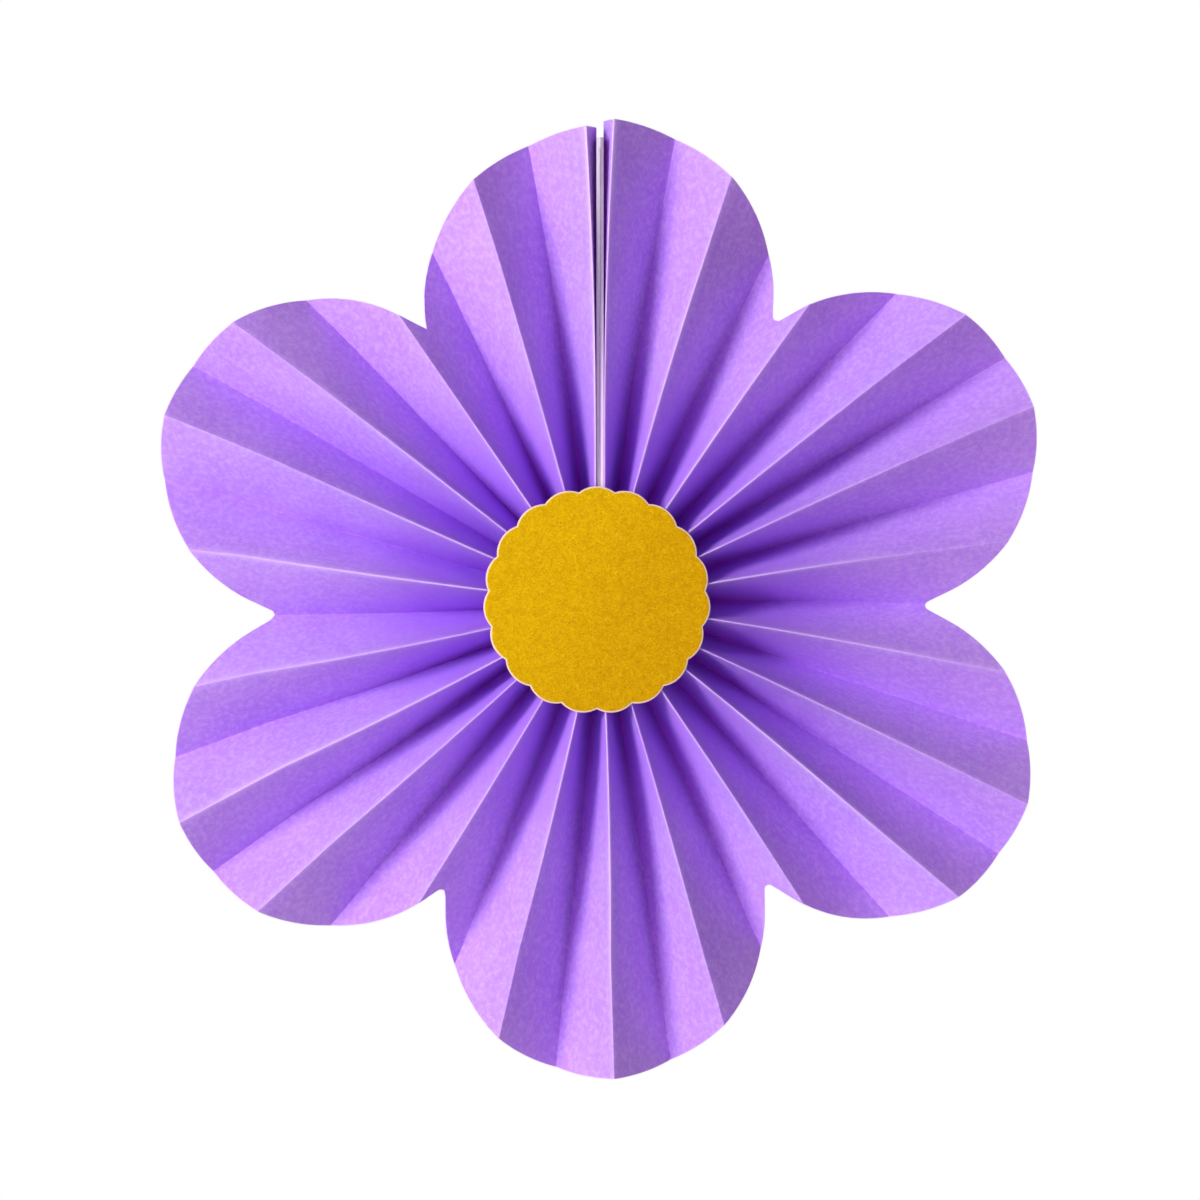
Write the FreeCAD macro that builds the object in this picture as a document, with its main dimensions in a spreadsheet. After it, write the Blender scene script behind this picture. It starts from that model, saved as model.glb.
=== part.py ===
import FreeCAD, Part
import math
import os

import Sketcher
from FreeCAD import Placement, Rotation, Vector

# Pleated paper flower with six petals, closed into a full circle at one seam.
# One long strip of stiff paper is folded to and fro, its outer edge cut to petals.
# Its two end leaves are glued to thin boards, which a tape joins back to back.
# A thread through the inner ends of all the pleats holds the hub together, and a
# scalloped disc of glitter card covers it in front.
# The flower stands upright: the disc faces -Y, the seam points to +Z, and the
# origin is the middle of the hub, halfway through the depth of the pleats.

DIMENSIONS = [
    ("panel_count", 44, "panels of the strip, a mountain and a valley fold to each pair"),
    ("pleat_width", 22.0, "width of one panel, from fold to fold"),
    ("paper_thickness", 0.25, "thickness of the folded paper"),
    ("fold_crowding", 1.05, "degrees by which the folds draw together on a petal"),
    ("hub_hole_radius", 3.5, "radius left open inside the inner ends of the pleats"),
    ("petal_count", 6, "petals of the outline"),
    ("petal_centre_radius", 81.4, "distance from the hub to the centre of a petal's round head"),
    ("petal_head_overlap", 1.7, "how much a head's radius exceeds half the distance to the next head"),
    ("petal_side_angle", 2.0, "degrees above level at which a head ends in its straight side"),
    ("notch_outset", 3.1, "how much farther out than the heads' centres the corners between petals lie"),
    ("notch_round", 1.3, "radius of that corner"),
    ("seam_step", 1.7, "how much lower the left half of the top petal stands"),
    ("end_leaf_width", 20.0, "width of the two end leaves, from their crease"),
    ("leaf_free_width", 8.0, "width of an end leaf in front that isn't glued to its board"),
    ("crease_bulge", 0.3, "how far a seam crease stands off the glued leaf at the hub"),
    ("seam_splay", 2.5, "how much further it stands off at the petal's tip"),
    ("splay_start_radius", 40.0, "where the seam starts to splay"),
    ("board_thickness", 0.85, "thickness of an end board"),
    ("board_width", 17.0, "width of an end board"),
    ("board_front_setback", 0.2, "how far the boards stand behind the seam creases"),
    ("board_inner_radius", 10.0, "distance from the hub to the boards"),
    ("board_tip_setback", 4.0, "how far the boards end below the petal's tip"),
    ("tape_thickness", 0.15, "thickness of the tape between the boards"),
    ("tape_margin", 2.5, "bare margin of the boards around the tape"),
    ("hang_hole_radius", 2.0, "radius of the hanging hole through the seam"),
    ("hang_hole_tip_setback", 13.0, "distance from the petal's tip to the hanging hole"),
    ("hang_hole_crease_setback", 12.0, "distance from the seam creases to the hanging hole"),
    ("thread_ring_radius", 7.0, "radius of the ring in which the thread lies"),
    ("thread_radius", 0.3, "radius of the binding thread"),
    ("thread_clearance", 0.15, "clearance around the thread in its holes"),
    ("thread_sides", 6, "flat sides that stand for the thread's and its holes' round section"),
    ("disc_crest_radius", 29.35, "radius of the disc over its scallops"),
    ("disc_thickness", 0.4, "thickness of the glitter card"),
    ("scallop_count", 19, "scallops around the disc"),
    ("scallop_radius", 7.5, "radius of one scallop's arc"),
    ("glue_dot_radius", 9.0, "radius of the glue dot behind the disc"),
    ("glue_dot_thickness", 0.2, "thickness of the glue dot"),
]

# A panel is twisted, upright at the hub and leaning outwards from there. Flat
# facets follow it, in this many rows, which are closer together near the hub.
FACET_ROWS = 12
ROW_GRADING = 1.3
# How far the folded strip runs past the outline before it is cut to petals
CUT_ALLOWANCE = 4.0

SHEET_NAMES = {name: f"sizes.{name}" for name, _, _ in DIMENSIONS}

doc = FreeCAD.newDocument("paper_fan_rosette")
sheet = doc.addObject("Spreadsheet::Sheet", "sizes")


def fill_sheet():
    """Writes each driving dimension, its name and its meaning on a row of its own."""
    for row, (name, value, meaning) in enumerate(DIMENSIONS, start=1):
        sheet.set(f"A{row}", name)
        sheet.set(f"B{row}", str(value))
        sheet.set(f"C{row}", meaning)
        sheet.setAlias(f"B{row}", name)
    doc.recompute()


def size(name):
    """The value of a driving dimension."""
    return float(sheet.get(name))


def value_of(formula):
    """The present value of a formula of driving dimensions."""
    value = sheet.evalExpression(formula.format(**SHEET_NAMES))
    return float(getattr(value, "Value", value))


def bind(thing, prop, formula):
    """Ties a property to the sheet. Each name in braces is a driving dimension."""
    thing.setExpression(prop, formula.format(**SHEET_NAMES))


def crease_depth(radius):
    """Formula for how far in front of the origin a seam crease lies at a radius."""
    chord = f"(2 * ({radius}) * sin(180 deg / {{panel_count}}))"
    return f"(sqrt(({{pleat_width}})^2 - {chord}^2) / 2)"


HEAD_RADIUS = "({petal_centre_radius} * sin(180 deg / {petal_count}) + {petal_head_overlap})"
NOTCH_RADIUS = "({petal_centre_radius} + {notch_outset})"
TIP_RADIUS = f"({{petal_centre_radius}} + {HEAD_RADIUS})"
HANG_HOLE_RADIUS = f"({TIP_RADIUS} - {{hang_hole_tip_setback}})"
HANG_HOLE_DEPTH = f"({{hang_hole_crease_setback}} - {crease_depth(HANG_HOLE_RADIUS)})"
STACK_HALF = "({tape_thickness} / 2 + {board_thickness})"
CREST_DEPTH = "({pleat_width} / 2 + {paper_thickness} / 2)"


def add_body(name):
    """A body with its label, which also names its file."""
    body = doc.addObject("PartDesign::Body", name)
    body.Label = name
    return body


def add_sketch(body, name, plane):
    """A sketch on one of the body's own origin planes."""
    sketch = body.newObject("Sketcher::SketchObject", name)
    face = [f for f in body.Origin.OriginFeatures if f.Role == plane][0]
    sketch.AttachmentSupport = (face, "")
    sketch.MapMode = "FlatFace"
    return sketch


def constrain(sketch, kind, *where, formula=None):
    """Adds a constraint, tied to the sheet where it has a formula."""
    if formula is None:
        sketch.addConstraint(Sketcher.Constraint(kind, *where))
        return
    number = sketch.addConstraint(Sketcher.Constraint(kind, *where, value_of(formula)))
    bind(sketch, f"Constraints[{number}]", formula)


def draw_circle(sketch, across, up, radius):
    """A circle with its centre at two formulas and its radius at a third."""
    ring = sketch.addGeometry(Part.Circle(Vector(1, 1, 0), Vector(0, 0, 1), 1))
    constrain(sketch, "Radius", ring, formula=radius)
    for kind, formula in (("DistanceX", across), ("DistanceY", up)):
        if formula is None:
            axis = -2 if kind == "DistanceX" else -1
            constrain(sketch, "PointOnObject", ring, 3, axis)
        else:
            constrain(sketch, kind, -1, 1, ring, 3, formula=formula)
    return ring


def close_chain(sketch, edges):
    """Joins the end of each edge to the start of the next, round to the first."""
    for first, second in zip(edges, edges[1:] + edges[:1]):
        constrain(sketch, "Coincident", first, 2, second, 1)


def cut_outline():
    """The cutter of the strip's outer edge: one petal, repeated around the hub."""
    body = add_body("petal_outline")
    centre = size("petal_centre_radius")
    head = value_of(HEAD_RADIUS)
    side = math.radians(size("petal_side_angle"))
    half = math.pi / size("petal_count")
    corner = Vector(math.sin(half), math.cos(half), 0) * value_of(NOTCH_RADIUS)
    mirrored = Vector(-corner.x, corner.y, 0)
    right = Vector(head * math.cos(side), centre + head * math.sin(side), 0)
    left = Vector(-right.x, right.y, 0)

    petal = add_sketch(body, "petal_profile", "XZ_Plane")
    circle = Part.Circle(Vector(0, centre, 0), Vector(0, 0, 1), head)
    arc = petal.addGeometry(Part.ArcOfCircle(circle, side, math.pi - side))
    route = [left, mirrored, Vector(0, 0, 0), corner, right]
    edges = [arc]
    for start, end in zip(route, route[1:]):
        edges.append(petal.addGeometry(Part.LineSegment(start, end)))
    close_chain(petal, edges)
    constrain(petal, "PointOnObject", arc, 3, -2)
    constrain(petal, "DistanceY", -1, 1, arc, 3, formula="{petal_centre_radius}")
    constrain(petal, "Radius", arc, formula=HEAD_RADIUS)
    constrain(petal, "Symmetric", arc, 1, arc, 2, -2)
    rise = f"{HEAD_RADIUS} * sin({{petal_side_angle}} * 1 deg)"
    constrain(petal, "DistanceY", arc, 3, arc, 1, formula=rise)
    constrain(petal, "Coincident", edges[2], 2, -1, 1)
    constrain(petal, "Symmetric", edges[2], 1, edges[3], 2, -2)
    across = f"{NOTCH_RADIUS} * sin(180 deg / {{petal_count}})"
    up = f"{NOTCH_RADIUS} * cos(180 deg / {{petal_count}})"
    constrain(petal, "DistanceX", -1, 1, edges[3], 2, formula=across)
    constrain(petal, "DistanceY", -1, 1, edges[3], 2, formula=up)

    pad = body.newObject("PartDesign::Pad", "petal")
    pad.Profile = petal
    pad.SideType = 2
    bind(pad, "Length", "4 * {pleat_width}")

    ring = body.newObject("PartDesign::PolarPattern", "petal_ring")
    ring.Originals = [pad]
    ring.Axis = (petal, ["N_Axis"])
    ring.Angle = 360
    bind(ring, "Occurrences", "{petal_count}")
    body.Tip = ring
    doc.recompute()

    corners = body.newObject("PartDesign::Fillet", "notch_rounds")
    corners.Base = (ring, notch_edges(ring.Shape))
    bind(corners, "Radius", "{notch_round}")
    doc.recompute()

    step = add_sketch(body, "seam_step_profile", "XZ_Plane")
    lowered = centre - size("seam_step")
    circle = Part.Circle(Vector(0, lowered, 0), Vector(0, 0, 1), head)
    arc = step.addGeometry(Part.ArcOfCircle(circle, math.pi / 2, math.pi - side))
    low = Vector(left.x, lowered + head * math.sin(side), 0)
    route = [
        low,
        Vector(-2 * head, low.y, 0),
        Vector(-2 * head, centre + 2 * head, 0),
        Vector(0, centre + 2 * head, 0),
        Vector(0, lowered + head, 0),
    ]
    edges = [arc]
    for start, end in zip(route, route[1:]):
        edges.append(step.addGeometry(Part.LineSegment(start, end)))
    close_chain(step, edges)
    constrain(step, "PointOnObject", arc, 3, -2)
    middle = "{petal_centre_radius} - {seam_step}"
    constrain(step, "DistanceY", -1, 1, arc, 3, formula=middle)
    constrain(step, "Radius", arc, formula=HEAD_RADIUS)
    constrain(step, "PointOnObject", arc, 1, -2)
    constrain(step, "DistanceY", arc, 3, arc, 2, formula=rise)
    constrain(step, "Horizontal", edges[1])
    constrain(step, "Vertical", edges[2])
    constrain(step, "Horizontal", edges[3])
    constrain(step, "Vertical", edges[4])
    reach = f"2 * {HEAD_RADIUS}"
    constrain(step, "DistanceX", edges[1], 2, -1, 1, formula=reach)
    constrain(step, "DistanceY", arc, 3, edges[3], 1, formula=reach)
    notch = body.newObject("PartDesign::Pocket", "seam_step_cut")
    notch.Profile = step
    notch.SideType = 2
    bind(notch, "Length", "4 * {pleat_width}")

    doc.recompute()
    return body


def notch_edges(shape):
    """Names of the straight edges at the corners between the petals."""
    wanted = value_of(NOTCH_RADIUS)
    found = []
    for number, edge in enumerate(shape.Edges, start=1):
        ends = [v.Point for v in edge.Vertexes]
        along_depth = len(ends) == 2 and abs(ends[1].y - ends[0].y) > size("pleat_width")
        radius = math.hypot(ends[0].x, ends[0].z)
        if along_depth and abs(radius - wanted) < size("paper_thickness"):
            found.append(f"Edge{number}")
    return found


class Pleats:
    """Where the folds of the strip run, and the skin around its thickness.

    Folds count clockwise from the seam's right crease, number 0, to its left
    crease, number panel_count. Even folds are mountains in front, odd ones are
    valleys at the back.
    """

    def __init__(self):
        self.panels = int(size("panel_count"))
        self.width = size("pleat_width")
        self.half_paper = size("paper_thickness") / 2
        self.leaf_plane = size("tape_thickness") / 2 + size("board_thickness") + self.half_paper
        self.tip = value_of(TIP_RADIUS)

    def crease_offset(self, radius):
        """How far the middle of the paper stands off the seam plane at a seam crease."""
        start = size("splay_start_radius")
        outward = max(0.0, radius - start) / (self.tip - start)
        return self.leaf_plane + size("crease_bulge") + size("seam_splay") * outward**2

    def angle(self, fold, radius):
        """Angle of a fold, clockwise from the seam plane. Folds crowd on the petals."""
        turn = 2 * math.pi * fold / self.panels
        crowding = math.radians(size("fold_crowding"))
        even = turn - crowding * math.sin(size("petal_count") * turn)
        seam = math.asin(self.crease_offset(radius) / radius)
        return seam + even * (1 - seam / math.pi)

    def depth(self, fold, radius):
        """How far a fold lies from the middle plane, so that its panels keep their width."""
        before, after = max(fold - 1, 0), min(fold + 1, self.panels)
        pitch = (self.angle(after, radius) - self.angle(before, radius)) / (after - before)
        chord = 2 * radius * math.sin(pitch / 2)
        return math.sqrt(self.width**2 - chord**2) / 2

    def end_radius(self, fold):
        """Where the uncut strip ends at a fold: a little past the petal's round head."""
        spacing = 2 * math.pi / size("petal_count")
        off_petal = math.remainder(self.angle(fold, self.tip), spacing)
        centre, head = size("petal_centre_radius"), value_of(HEAD_RADIUS)
        across = min(abs(centre * math.sin(off_petal)), head)
        return centre * math.cos(off_petal) + math.sqrt(head**2 - across**2) + CUT_ALLOWANCE

    def radius(self, fold, row):
        """Distance from the hub at which a row of facets crosses a fold."""
        start = size("hub_hole_radius")
        share = (row / FACET_ROWS) ** ROW_GRADING
        return start + (self.end_radius(fold) - start) * share

    def middle_line(self, row):
        """Corners of the strip's middle line in one row, and the way out from the hub at each."""
        points, outward = [], []
        for fold in range(self.panels + 1):
            radius = self.radius(fold, row)
            angle = self.angle(fold, radius)
            out = Vector(math.sin(angle), 0, math.cos(angle))
            side = -1 if fold % 2 == 0 else 1
            points.append(out * radius + Vector(0, side * self.depth(fold, radius), 0))
            outward.append(out)
        for crease, sign in ((points[0], 1), (points[-1], -1)):
            leaf = Vector(sign * self.leaf_plane, crease.y, crease.z)
            bend = leaf + Vector(0, size("leaf_free_width"), 0)
            end = leaf + Vector(0, size("end_leaf_width"), 0)
            if sign > 0:
                points = [end, bend] + points
                outward = [Vector(0, 0, 1)] * 2 + outward
            else:
                points = points + [bend, end]
                outward = outward + [Vector(0, 0, 1)] * 2
        return points, outward

    def section(self, row):
        """Front and back corners of the paper in one row, the same number on each side.

        On the hollow side of a fold the two panels meet in a mitre. On its outer
        side the fold is flat for about the thickness of the paper.
        """
        points, outward = self.middle_line(row)
        front, back = [], []
        last = len(points) - 1
        for number, point in enumerate(points):
            ahead, behind = min(number, last - 1), max(number - 1, 0)
            after = outward[number].cross(points[ahead + 1] - points[ahead]).normalize()
            before = outward[number].cross(points[behind + 1] - points[behind]).normalize()
            mitre = (before + after) * (self.half_paper / (1 + before.dot(after)))
            if number in (0, 1, last - 1, last):
                front.append(point - mitre)
                back.append(point + mitre)
                continue
            bisector = before + after
            cosine = bisector.Length / 2
            hollow = 1 if number % 2 == 0 else -1
            bisector.normalize()
            tangent = bisector.cross(outward[number])
            flat = self.half_paper * (1 - cosine) / math.sqrt(1 - cosine**2)
            crest = point - bisector * (hollow * self.half_paper)
            crown = [crest - tangent * flat, crest + tangent * flat]
            inner = [point + mitre * hollow] * 2
            front.extend(crown if hollow > 0 else inner)
            back.extend(inner if hollow > 0 else crown)
        return front, back


def add_strip(facets, first, second, turned=False):
    """Triangles between two rows of corners, without those that have no area."""
    for a, b, c, d in zip(first, first[1:], second[1:], second):
        for triangle in ((a, b, c), (a, c, d)):
            if len(set(triangle)) == 3:
                facets.append(triangle[::-1] if turned else triangle)


def folded_strip():
    """The whole folded strip as a solid, before its outer edge is cut to petals."""
    pleats = Pleats()
    corners, facets, numbers = [], [], {}

    def number_of(corner):
        key = (round(corner.x, 6), round(corner.y, 6), round(corner.z, 6))
        if key not in numbers:
            numbers[key] = len(corners)
            corners.append(corner)
        return numbers[key]

    fronts, backs = [], []
    for row in range(FACET_ROWS + 1):
        front, back = pleats.section(row)
        fronts.append([number_of(corner) for corner in front])
        backs.append([number_of(corner) for corner in back])
    for row in range(FACET_ROWS):
        add_strip(facets, fronts[row], fronts[row + 1])
        add_strip(facets, backs[row], backs[row + 1], turned=True)
    add_strip(facets, backs[0], fronts[0])
    add_strip(facets, backs[-1], fronts[-1], turned=True)
    for end, turned in ((0, False), (-1, True)):
        edge_front = [front[end] for front in fronts]
        edge_back = [back[end] for back in backs]
        add_strip(facets, edge_front, edge_back, turned)
    shell = Part.Shape()
    shell.makeShapeFromMesh((corners, facets), 0.0005)
    solid = Part.makeSolid(shell)
    if solid.Volume < 0:
        solid.reverse()
    strip = doc.addObject("Part::Feature", "folded_strip")
    strip.Shape = solid
    strip.Placement = Placement()
    return strip


def pleated_paper():
    """The folded strip, cut to petals, with its hanging hole and its thread holes."""
    trimmed = doc.addObject("Part::Common", "strip_cut_to_petals")
    trimmed.Base = folded_strip()
    trimmed.Tool = cut_outline()

    punch = doc.addObject("Part::Cylinder", "hanging_hole_punch")
    bind(punch, "Radius", "{hang_hole_radius}")
    bind(punch, "Height", f"2 * ({STACK_HALF} + 2 * {{paper_thickness}})")
    punch.Placement = Placement(Vector(), Rotation(Vector(0, 1, 0), 90))
    bind(punch, "Placement.Base.x", f"-({STACK_HALF} + 2 * {{paper_thickness}})")
    bind(punch, "Placement.Base.y", HANG_HOLE_DEPTH)
    bind(punch, "Placement.Base.z", HANG_HOLE_RADIUS)
    punched = doc.addObject("Part::Cut", "strip_with_hanging_hole")
    punched.Base = trimmed
    punched.Tool = punch

    paper = doc.addObject("Part::Cut", "pleated_paper")
    paper.Label = "pleated_paper"
    paper.Base = punched
    paper.Tool = ring_around_hub("thread_holes", "{thread_radius} + {thread_clearance}")
    return paper


def draw_strip(sketch, margin):
    """A rectangle along the seam, as the boards have, drawn in by a margin all round."""
    foot = f"({{board_front_setback}} + {margin} - {{pleat_width}} / 2)"
    inner_end = f"({{board_inner_radius}} + {margin})"
    outer_end = f"({TIP_RADIUS} - {{board_tip_setback}} - {margin})"
    head = f"({{board_front_setback}} + {margin} - {crease_depth(TIP_RADIUS)})"
    low = Vector(value_of(foot), value_of(inner_end), 0)
    high = Vector(value_of(head), value_of(outer_end), 0)
    across = (high - low).cross(Vector(0, 0, 1)).normalize()
    across *= value_of(f"{{board_width}} - 2 * {margin}")
    route = [low, low + across, high + across, high]
    edges = []
    for start, end in zip(route, route[1:] + route[:1]):
        edges.append(sketch.addGeometry(Part.LineSegment(start, end)))
    close_chain(sketch, edges)
    inner, back, outer, front = edges
    constrain(sketch, "Parallel", inner, outer)
    constrain(sketch, "Parallel", front, back)
    constrain(sketch, "Perpendicular", inner, front)
    constrain(sketch, "DistanceX", -1, 1, inner, 1, formula=foot)
    constrain(sketch, "DistanceY", -1, 1, inner, 1, formula=inner_end)
    constrain(sketch, "DistanceX", -1, 1, outer, 2, formula=head)
    constrain(sketch, "DistanceY", -1, 1, outer, 2, formula=outer_end)
    constrain(sketch, "Distance", inner, formula=f"{{board_width}} - 2 * {margin}")


def seam_layer(name, margin, thickness, offset):
    """A flat layer in the seam with the hanging hole through it: a board, or the tape."""
    body = add_body(name)
    outline = add_sketch(body, f"{name}_outline", "YZ_Plane")
    draw_strip(outline, margin)
    pad = body.newObject("PartDesign::Pad", f"{name}_blank")
    pad.Profile = outline
    bind(pad, "Length", thickness)
    hole = add_sketch(body, f"{name}_hole_profile", "YZ_Plane")
    draw_circle(hole, HANG_HOLE_DEPTH, HANG_HOLE_RADIUS, "{hang_hole_radius}")
    pocket = body.newObject("PartDesign::Pocket", f"{name}_hanging_hole")
    pocket.Profile = hole
    pocket.SideType = 2
    bind(pocket, "Length", f"4 * {thickness}")
    bind(body, "Placement.Base.x", offset)
    return body


def centre_disc():
    """The scalloped disc of glitter card: a round blank with a ring of lobes."""
    body = add_body("centre_disc")
    blank = add_sketch(body, "disc_blank_profile", "XZ_Plane")
    draw_circle(blank, None, None, "{disc_crest_radius} - {scallop_radius} / 2")
    pad = body.newObject("PartDesign::Pad", "disc_blank")
    pad.Profile = blank
    bind(pad, "Length", "{disc_thickness}")
    lobe = add_sketch(body, "scallop_profile", "XZ_Plane")
    draw_circle(lobe, None, "{disc_crest_radius} - {scallop_radius}", "{scallop_radius}")
    scallop = body.newObject("PartDesign::Pad", "scallop")
    scallop.Profile = lobe
    bind(scallop, "Length", "{disc_thickness}")
    ring = body.newObject("PartDesign::PolarPattern", "scallop_ring")
    ring.Originals = [scallop]
    ring.Axis = (lobe, ["N_Axis"])
    ring.Angle = 360
    bind(ring, "Occurrences", "{scallop_count}")
    body.Tip = ring
    bind(body, "Placement.Base.y", f"-({CREST_DEPTH} + {{glue_dot_thickness}})")
    return body


def disc_glue_dot():
    """The dot of glue between the disc and the crests of the pleats at the hub."""
    dot = doc.addObject("Part::Cylinder", "disc_glue_dot")
    dot.Label = "disc_glue_dot"
    bind(dot, "Radius", "{glue_dot_radius}")
    bind(dot, "Height", "{glue_dot_thickness}")
    dot.Placement = Placement(Vector(), Rotation(Vector(1, 0, 0), 90))
    bind(dot, "Placement.Base.y", f"-{CREST_DEPTH}")
    return dot


def ring_around_hub(name, radius):
    """A ring where the thread lies, with a section of a few flat sides."""
    section = doc.addObject("Part::RegularPolygon", f"{name}_section")
    bind(section, "Polygon", "{thread_sides}")
    bind(section, "Circumradius", radius)
    bind(section, "Placement.Base.x", "{thread_ring_radius}")
    ring = doc.addObject("Part::Revolution", name)
    ring.Label = name
    ring.Source = section
    ring.Axis = Vector(0, 1, 0)
    ring.Angle = 360
    ring.Solid = True
    return ring


def build():
    """Makes every piece of the flower."""
    fill_sheet()
    half_tape = "{tape_thickness} / 2"
    return [
        pleated_paper(),
        seam_layer("end_board_left", "0", "{board_thickness}", f"-{STACK_HALF}"),
        seam_layer("end_board_right", "0", "{board_thickness}", half_tape),
        seam_layer("seam_tape", "{tape_margin}", "{tape_thickness}", f"-{half_tape}"),
        ring_around_hub("hub_thread", "{thread_radius}"),
        disc_glue_dot(),
        centre_disc(),
    ]


def write(pieces):
    """Writes each piece to a file of its own, once all of them are sound."""
    doc.recompute()
    for thing in doc.Objects:
        if "Invalid" in thing.State or "Error" in thing.State:
            raise RuntimeError(f"{thing.Label} failed: {thing.State}")
    for piece in pieces:
        if piece.Shape.isNull() or not piece.Shape.isValid():
            raise RuntimeError(f"{piece.Label} isn't a sound solid")
    os.makedirs("parts", exist_ok=True)
    for piece in pieces:
        piece.Shape.exportStep(f"parts/{piece.Label}.step")
        box = piece.Shape.BoundBox
        print(
            f"{piece.Label}: {len(piece.Shape.Solids)} solid, {len(piece.Shape.Faces)} faces,",
            f"{piece.Shape.Volume:.1f} mm3, y {box.YMin:.2f} to {box.YMax:.2f}",
        )


write(build())
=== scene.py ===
"""Looks of a pleated paper flower: one folded sheet, its stiffened seam and a glitter-card centre.

The flower stands upright in the frame's own axes, in metres: the disc faces -Y, the seam points
to +Z and the middle of the hub is the origin. Angles are counted clockwise from +Z, as seen from
the front.
"""

from __future__ import annotations

import logging
import math
from dataclasses import dataclass
from enum import Enum
from typing import Any

import bpy
import numpy as np
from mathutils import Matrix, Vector

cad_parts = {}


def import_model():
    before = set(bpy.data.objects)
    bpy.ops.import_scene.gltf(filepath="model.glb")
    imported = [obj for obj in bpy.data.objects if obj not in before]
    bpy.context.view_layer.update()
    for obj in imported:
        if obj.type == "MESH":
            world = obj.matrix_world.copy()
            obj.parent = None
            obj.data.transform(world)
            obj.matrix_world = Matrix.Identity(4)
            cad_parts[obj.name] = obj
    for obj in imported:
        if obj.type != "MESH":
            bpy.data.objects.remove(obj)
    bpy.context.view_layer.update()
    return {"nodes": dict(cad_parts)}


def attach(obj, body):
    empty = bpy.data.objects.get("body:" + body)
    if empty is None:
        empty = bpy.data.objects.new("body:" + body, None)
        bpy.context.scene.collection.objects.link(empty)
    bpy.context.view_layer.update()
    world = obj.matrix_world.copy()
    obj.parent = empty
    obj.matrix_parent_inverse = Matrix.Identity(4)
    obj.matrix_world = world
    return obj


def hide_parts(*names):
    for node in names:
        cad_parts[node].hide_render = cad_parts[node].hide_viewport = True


LOG = logging.getLogger("paper_flower")
BODY = "root"
MM = 0.001
# Points that agree to this many digits of a millimetre are one point.
WELD_DIGITS = 3

Colour = tuple[float, float, float]


class Skin(Enum):
    """The two sides of the sheet. The value is the sign of the side along Y."""

    FRONT = -1
    BACK = 1


class Effect(Enum):
    """Shader node groups that several finishes share."""

    FIBRES = "paper_fibres"
    BROKEN_LINE = "broken_line"


# Meshes


def polar(angle: np.ndarray, radius: np.ndarray, depth: np.ndarray) -> np.ndarray:
    """Points from their angle, distance from the hub and depth.

    Args:
        angle: Radians clockwise from +Z.
        radius: Distance from the Y axis.
        depth: Place along Y.

    Returns:
        The points, with a last axis of three.
    """
    return np.stack([radius * np.sin(angle), depth + 0 * radius, radius * np.cos(angle)], -1)


def grid_faces(numbers: np.ndarray, turned: bool = False) -> np.ndarray:
    """Quads between neighbouring rows and columns of a grid of vertex numbers.

    Args:
        numbers: Vertex numbers, one row of the grid after another.
        turned: Whether the quads face the other way.

    Returns:
        An array of quads.
    """
    quads = np.stack([numbers[:-1, :-1], numbers[1:, :-1], numbers[1:, 1:], numbers[:-1, 1:]], -1)
    quads = quads.reshape(-1, 4)
    return quads[:, ::-1] if turned else quads


def make_piece(
    name: str,
    points: np.ndarray,
    quads: np.ndarray,
    marks: dict[str, np.ndarray] | None = None,
    flat: np.ndarray | None = None,
    sharp_angle: float = 25.0,
) -> bpy.types.Object:
    """Makes a closed mesh, merging equal points and dropping the quads that vanish.

    Args:
        name: Name of the piece.
        points: Vertices in millimetres, one after another.
        quads: Four vertex numbers for each face. Equal points make it a triangle.
        marks: Values at each vertex that the finish reads, by name.
        flat: Faces that are shaded flat.
        sharp_angle: Degrees above which an edge stays sharp.

    Returns:
        The object, at the origin.
    """
    keys = np.round(points, WELD_DIGITS)
    _, first, place = np.unique(keys, axis=0, return_index=True, return_inverse=True)
    corners = place.reshape(-1)[quads]
    stays = corners != np.roll(corners, 1, axis=1)
    count = stays.sum(1)
    flat = np.zeros(len(quads), bool) if flat is None else flat
    whole = count == 4
    pinched = count == 3
    triangles = corners[pinched][stays[pinched]].reshape(-1, 3)
    mesh = bpy.data.meshes.new(name)
    mesh.from_pydata((points[first] * MM).tolist(), [], corners[whole].tolist() + triangles.tolist())
    mesh.polygons.foreach_set("use_smooth", ~np.concatenate([flat[whole], flat[pinched]]))
    for label, values in (marks or {}).items():
        mark = mesh.attributes.new(label, "FLOAT", "POINT")
        mark.data.foreach_set("value", values[first].astype(np.float32))
    mesh.set_sharp_from_angle(angle=math.radians(sharp_angle))
    mesh.validate()
    piece = bpy.data.objects.new(name, mesh)
    bpy.context.scene.collection.objects.link(piece)
    return piece


def smooth_step(low: float, high: float, value: np.ndarray) -> np.ndarray:
    """0 below low, 1 above high, and an even S-shaped rise between."""
    share = np.clip((value - low) / (high - low), 0, 1)
    return share * share * (3 - 2 * share)


def smooth_round(turn: np.ndarray, values: tuple[float, ...]) -> np.ndarray:
    """Values given at even steps of a full turn, and smooth between them.

    A cubic runs from each value to the next, with the slope at a value that its two neighbours
    give it.

    Args:
        turn: Radians from the first value, 0 to a full turn.
        values: The values.

    Returns:
        The value at each angle.
    """
    table = np.array(values)
    place = turn / (2 * math.pi) * len(table)
    first = np.floor(place).astype(int)
    share = place - first
    before, low, high, after = (table[(first + step) % len(table)] for step in (-1, 0, 1, 2))
    curve = 2 * before - 5 * low + 4 * high - after
    twist = 3 * low - before - 3 * high + after
    return low + (high - before) * share / 2 + curve * share**2 / 2 + twist * share**3 / 2


# Shaders


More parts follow.
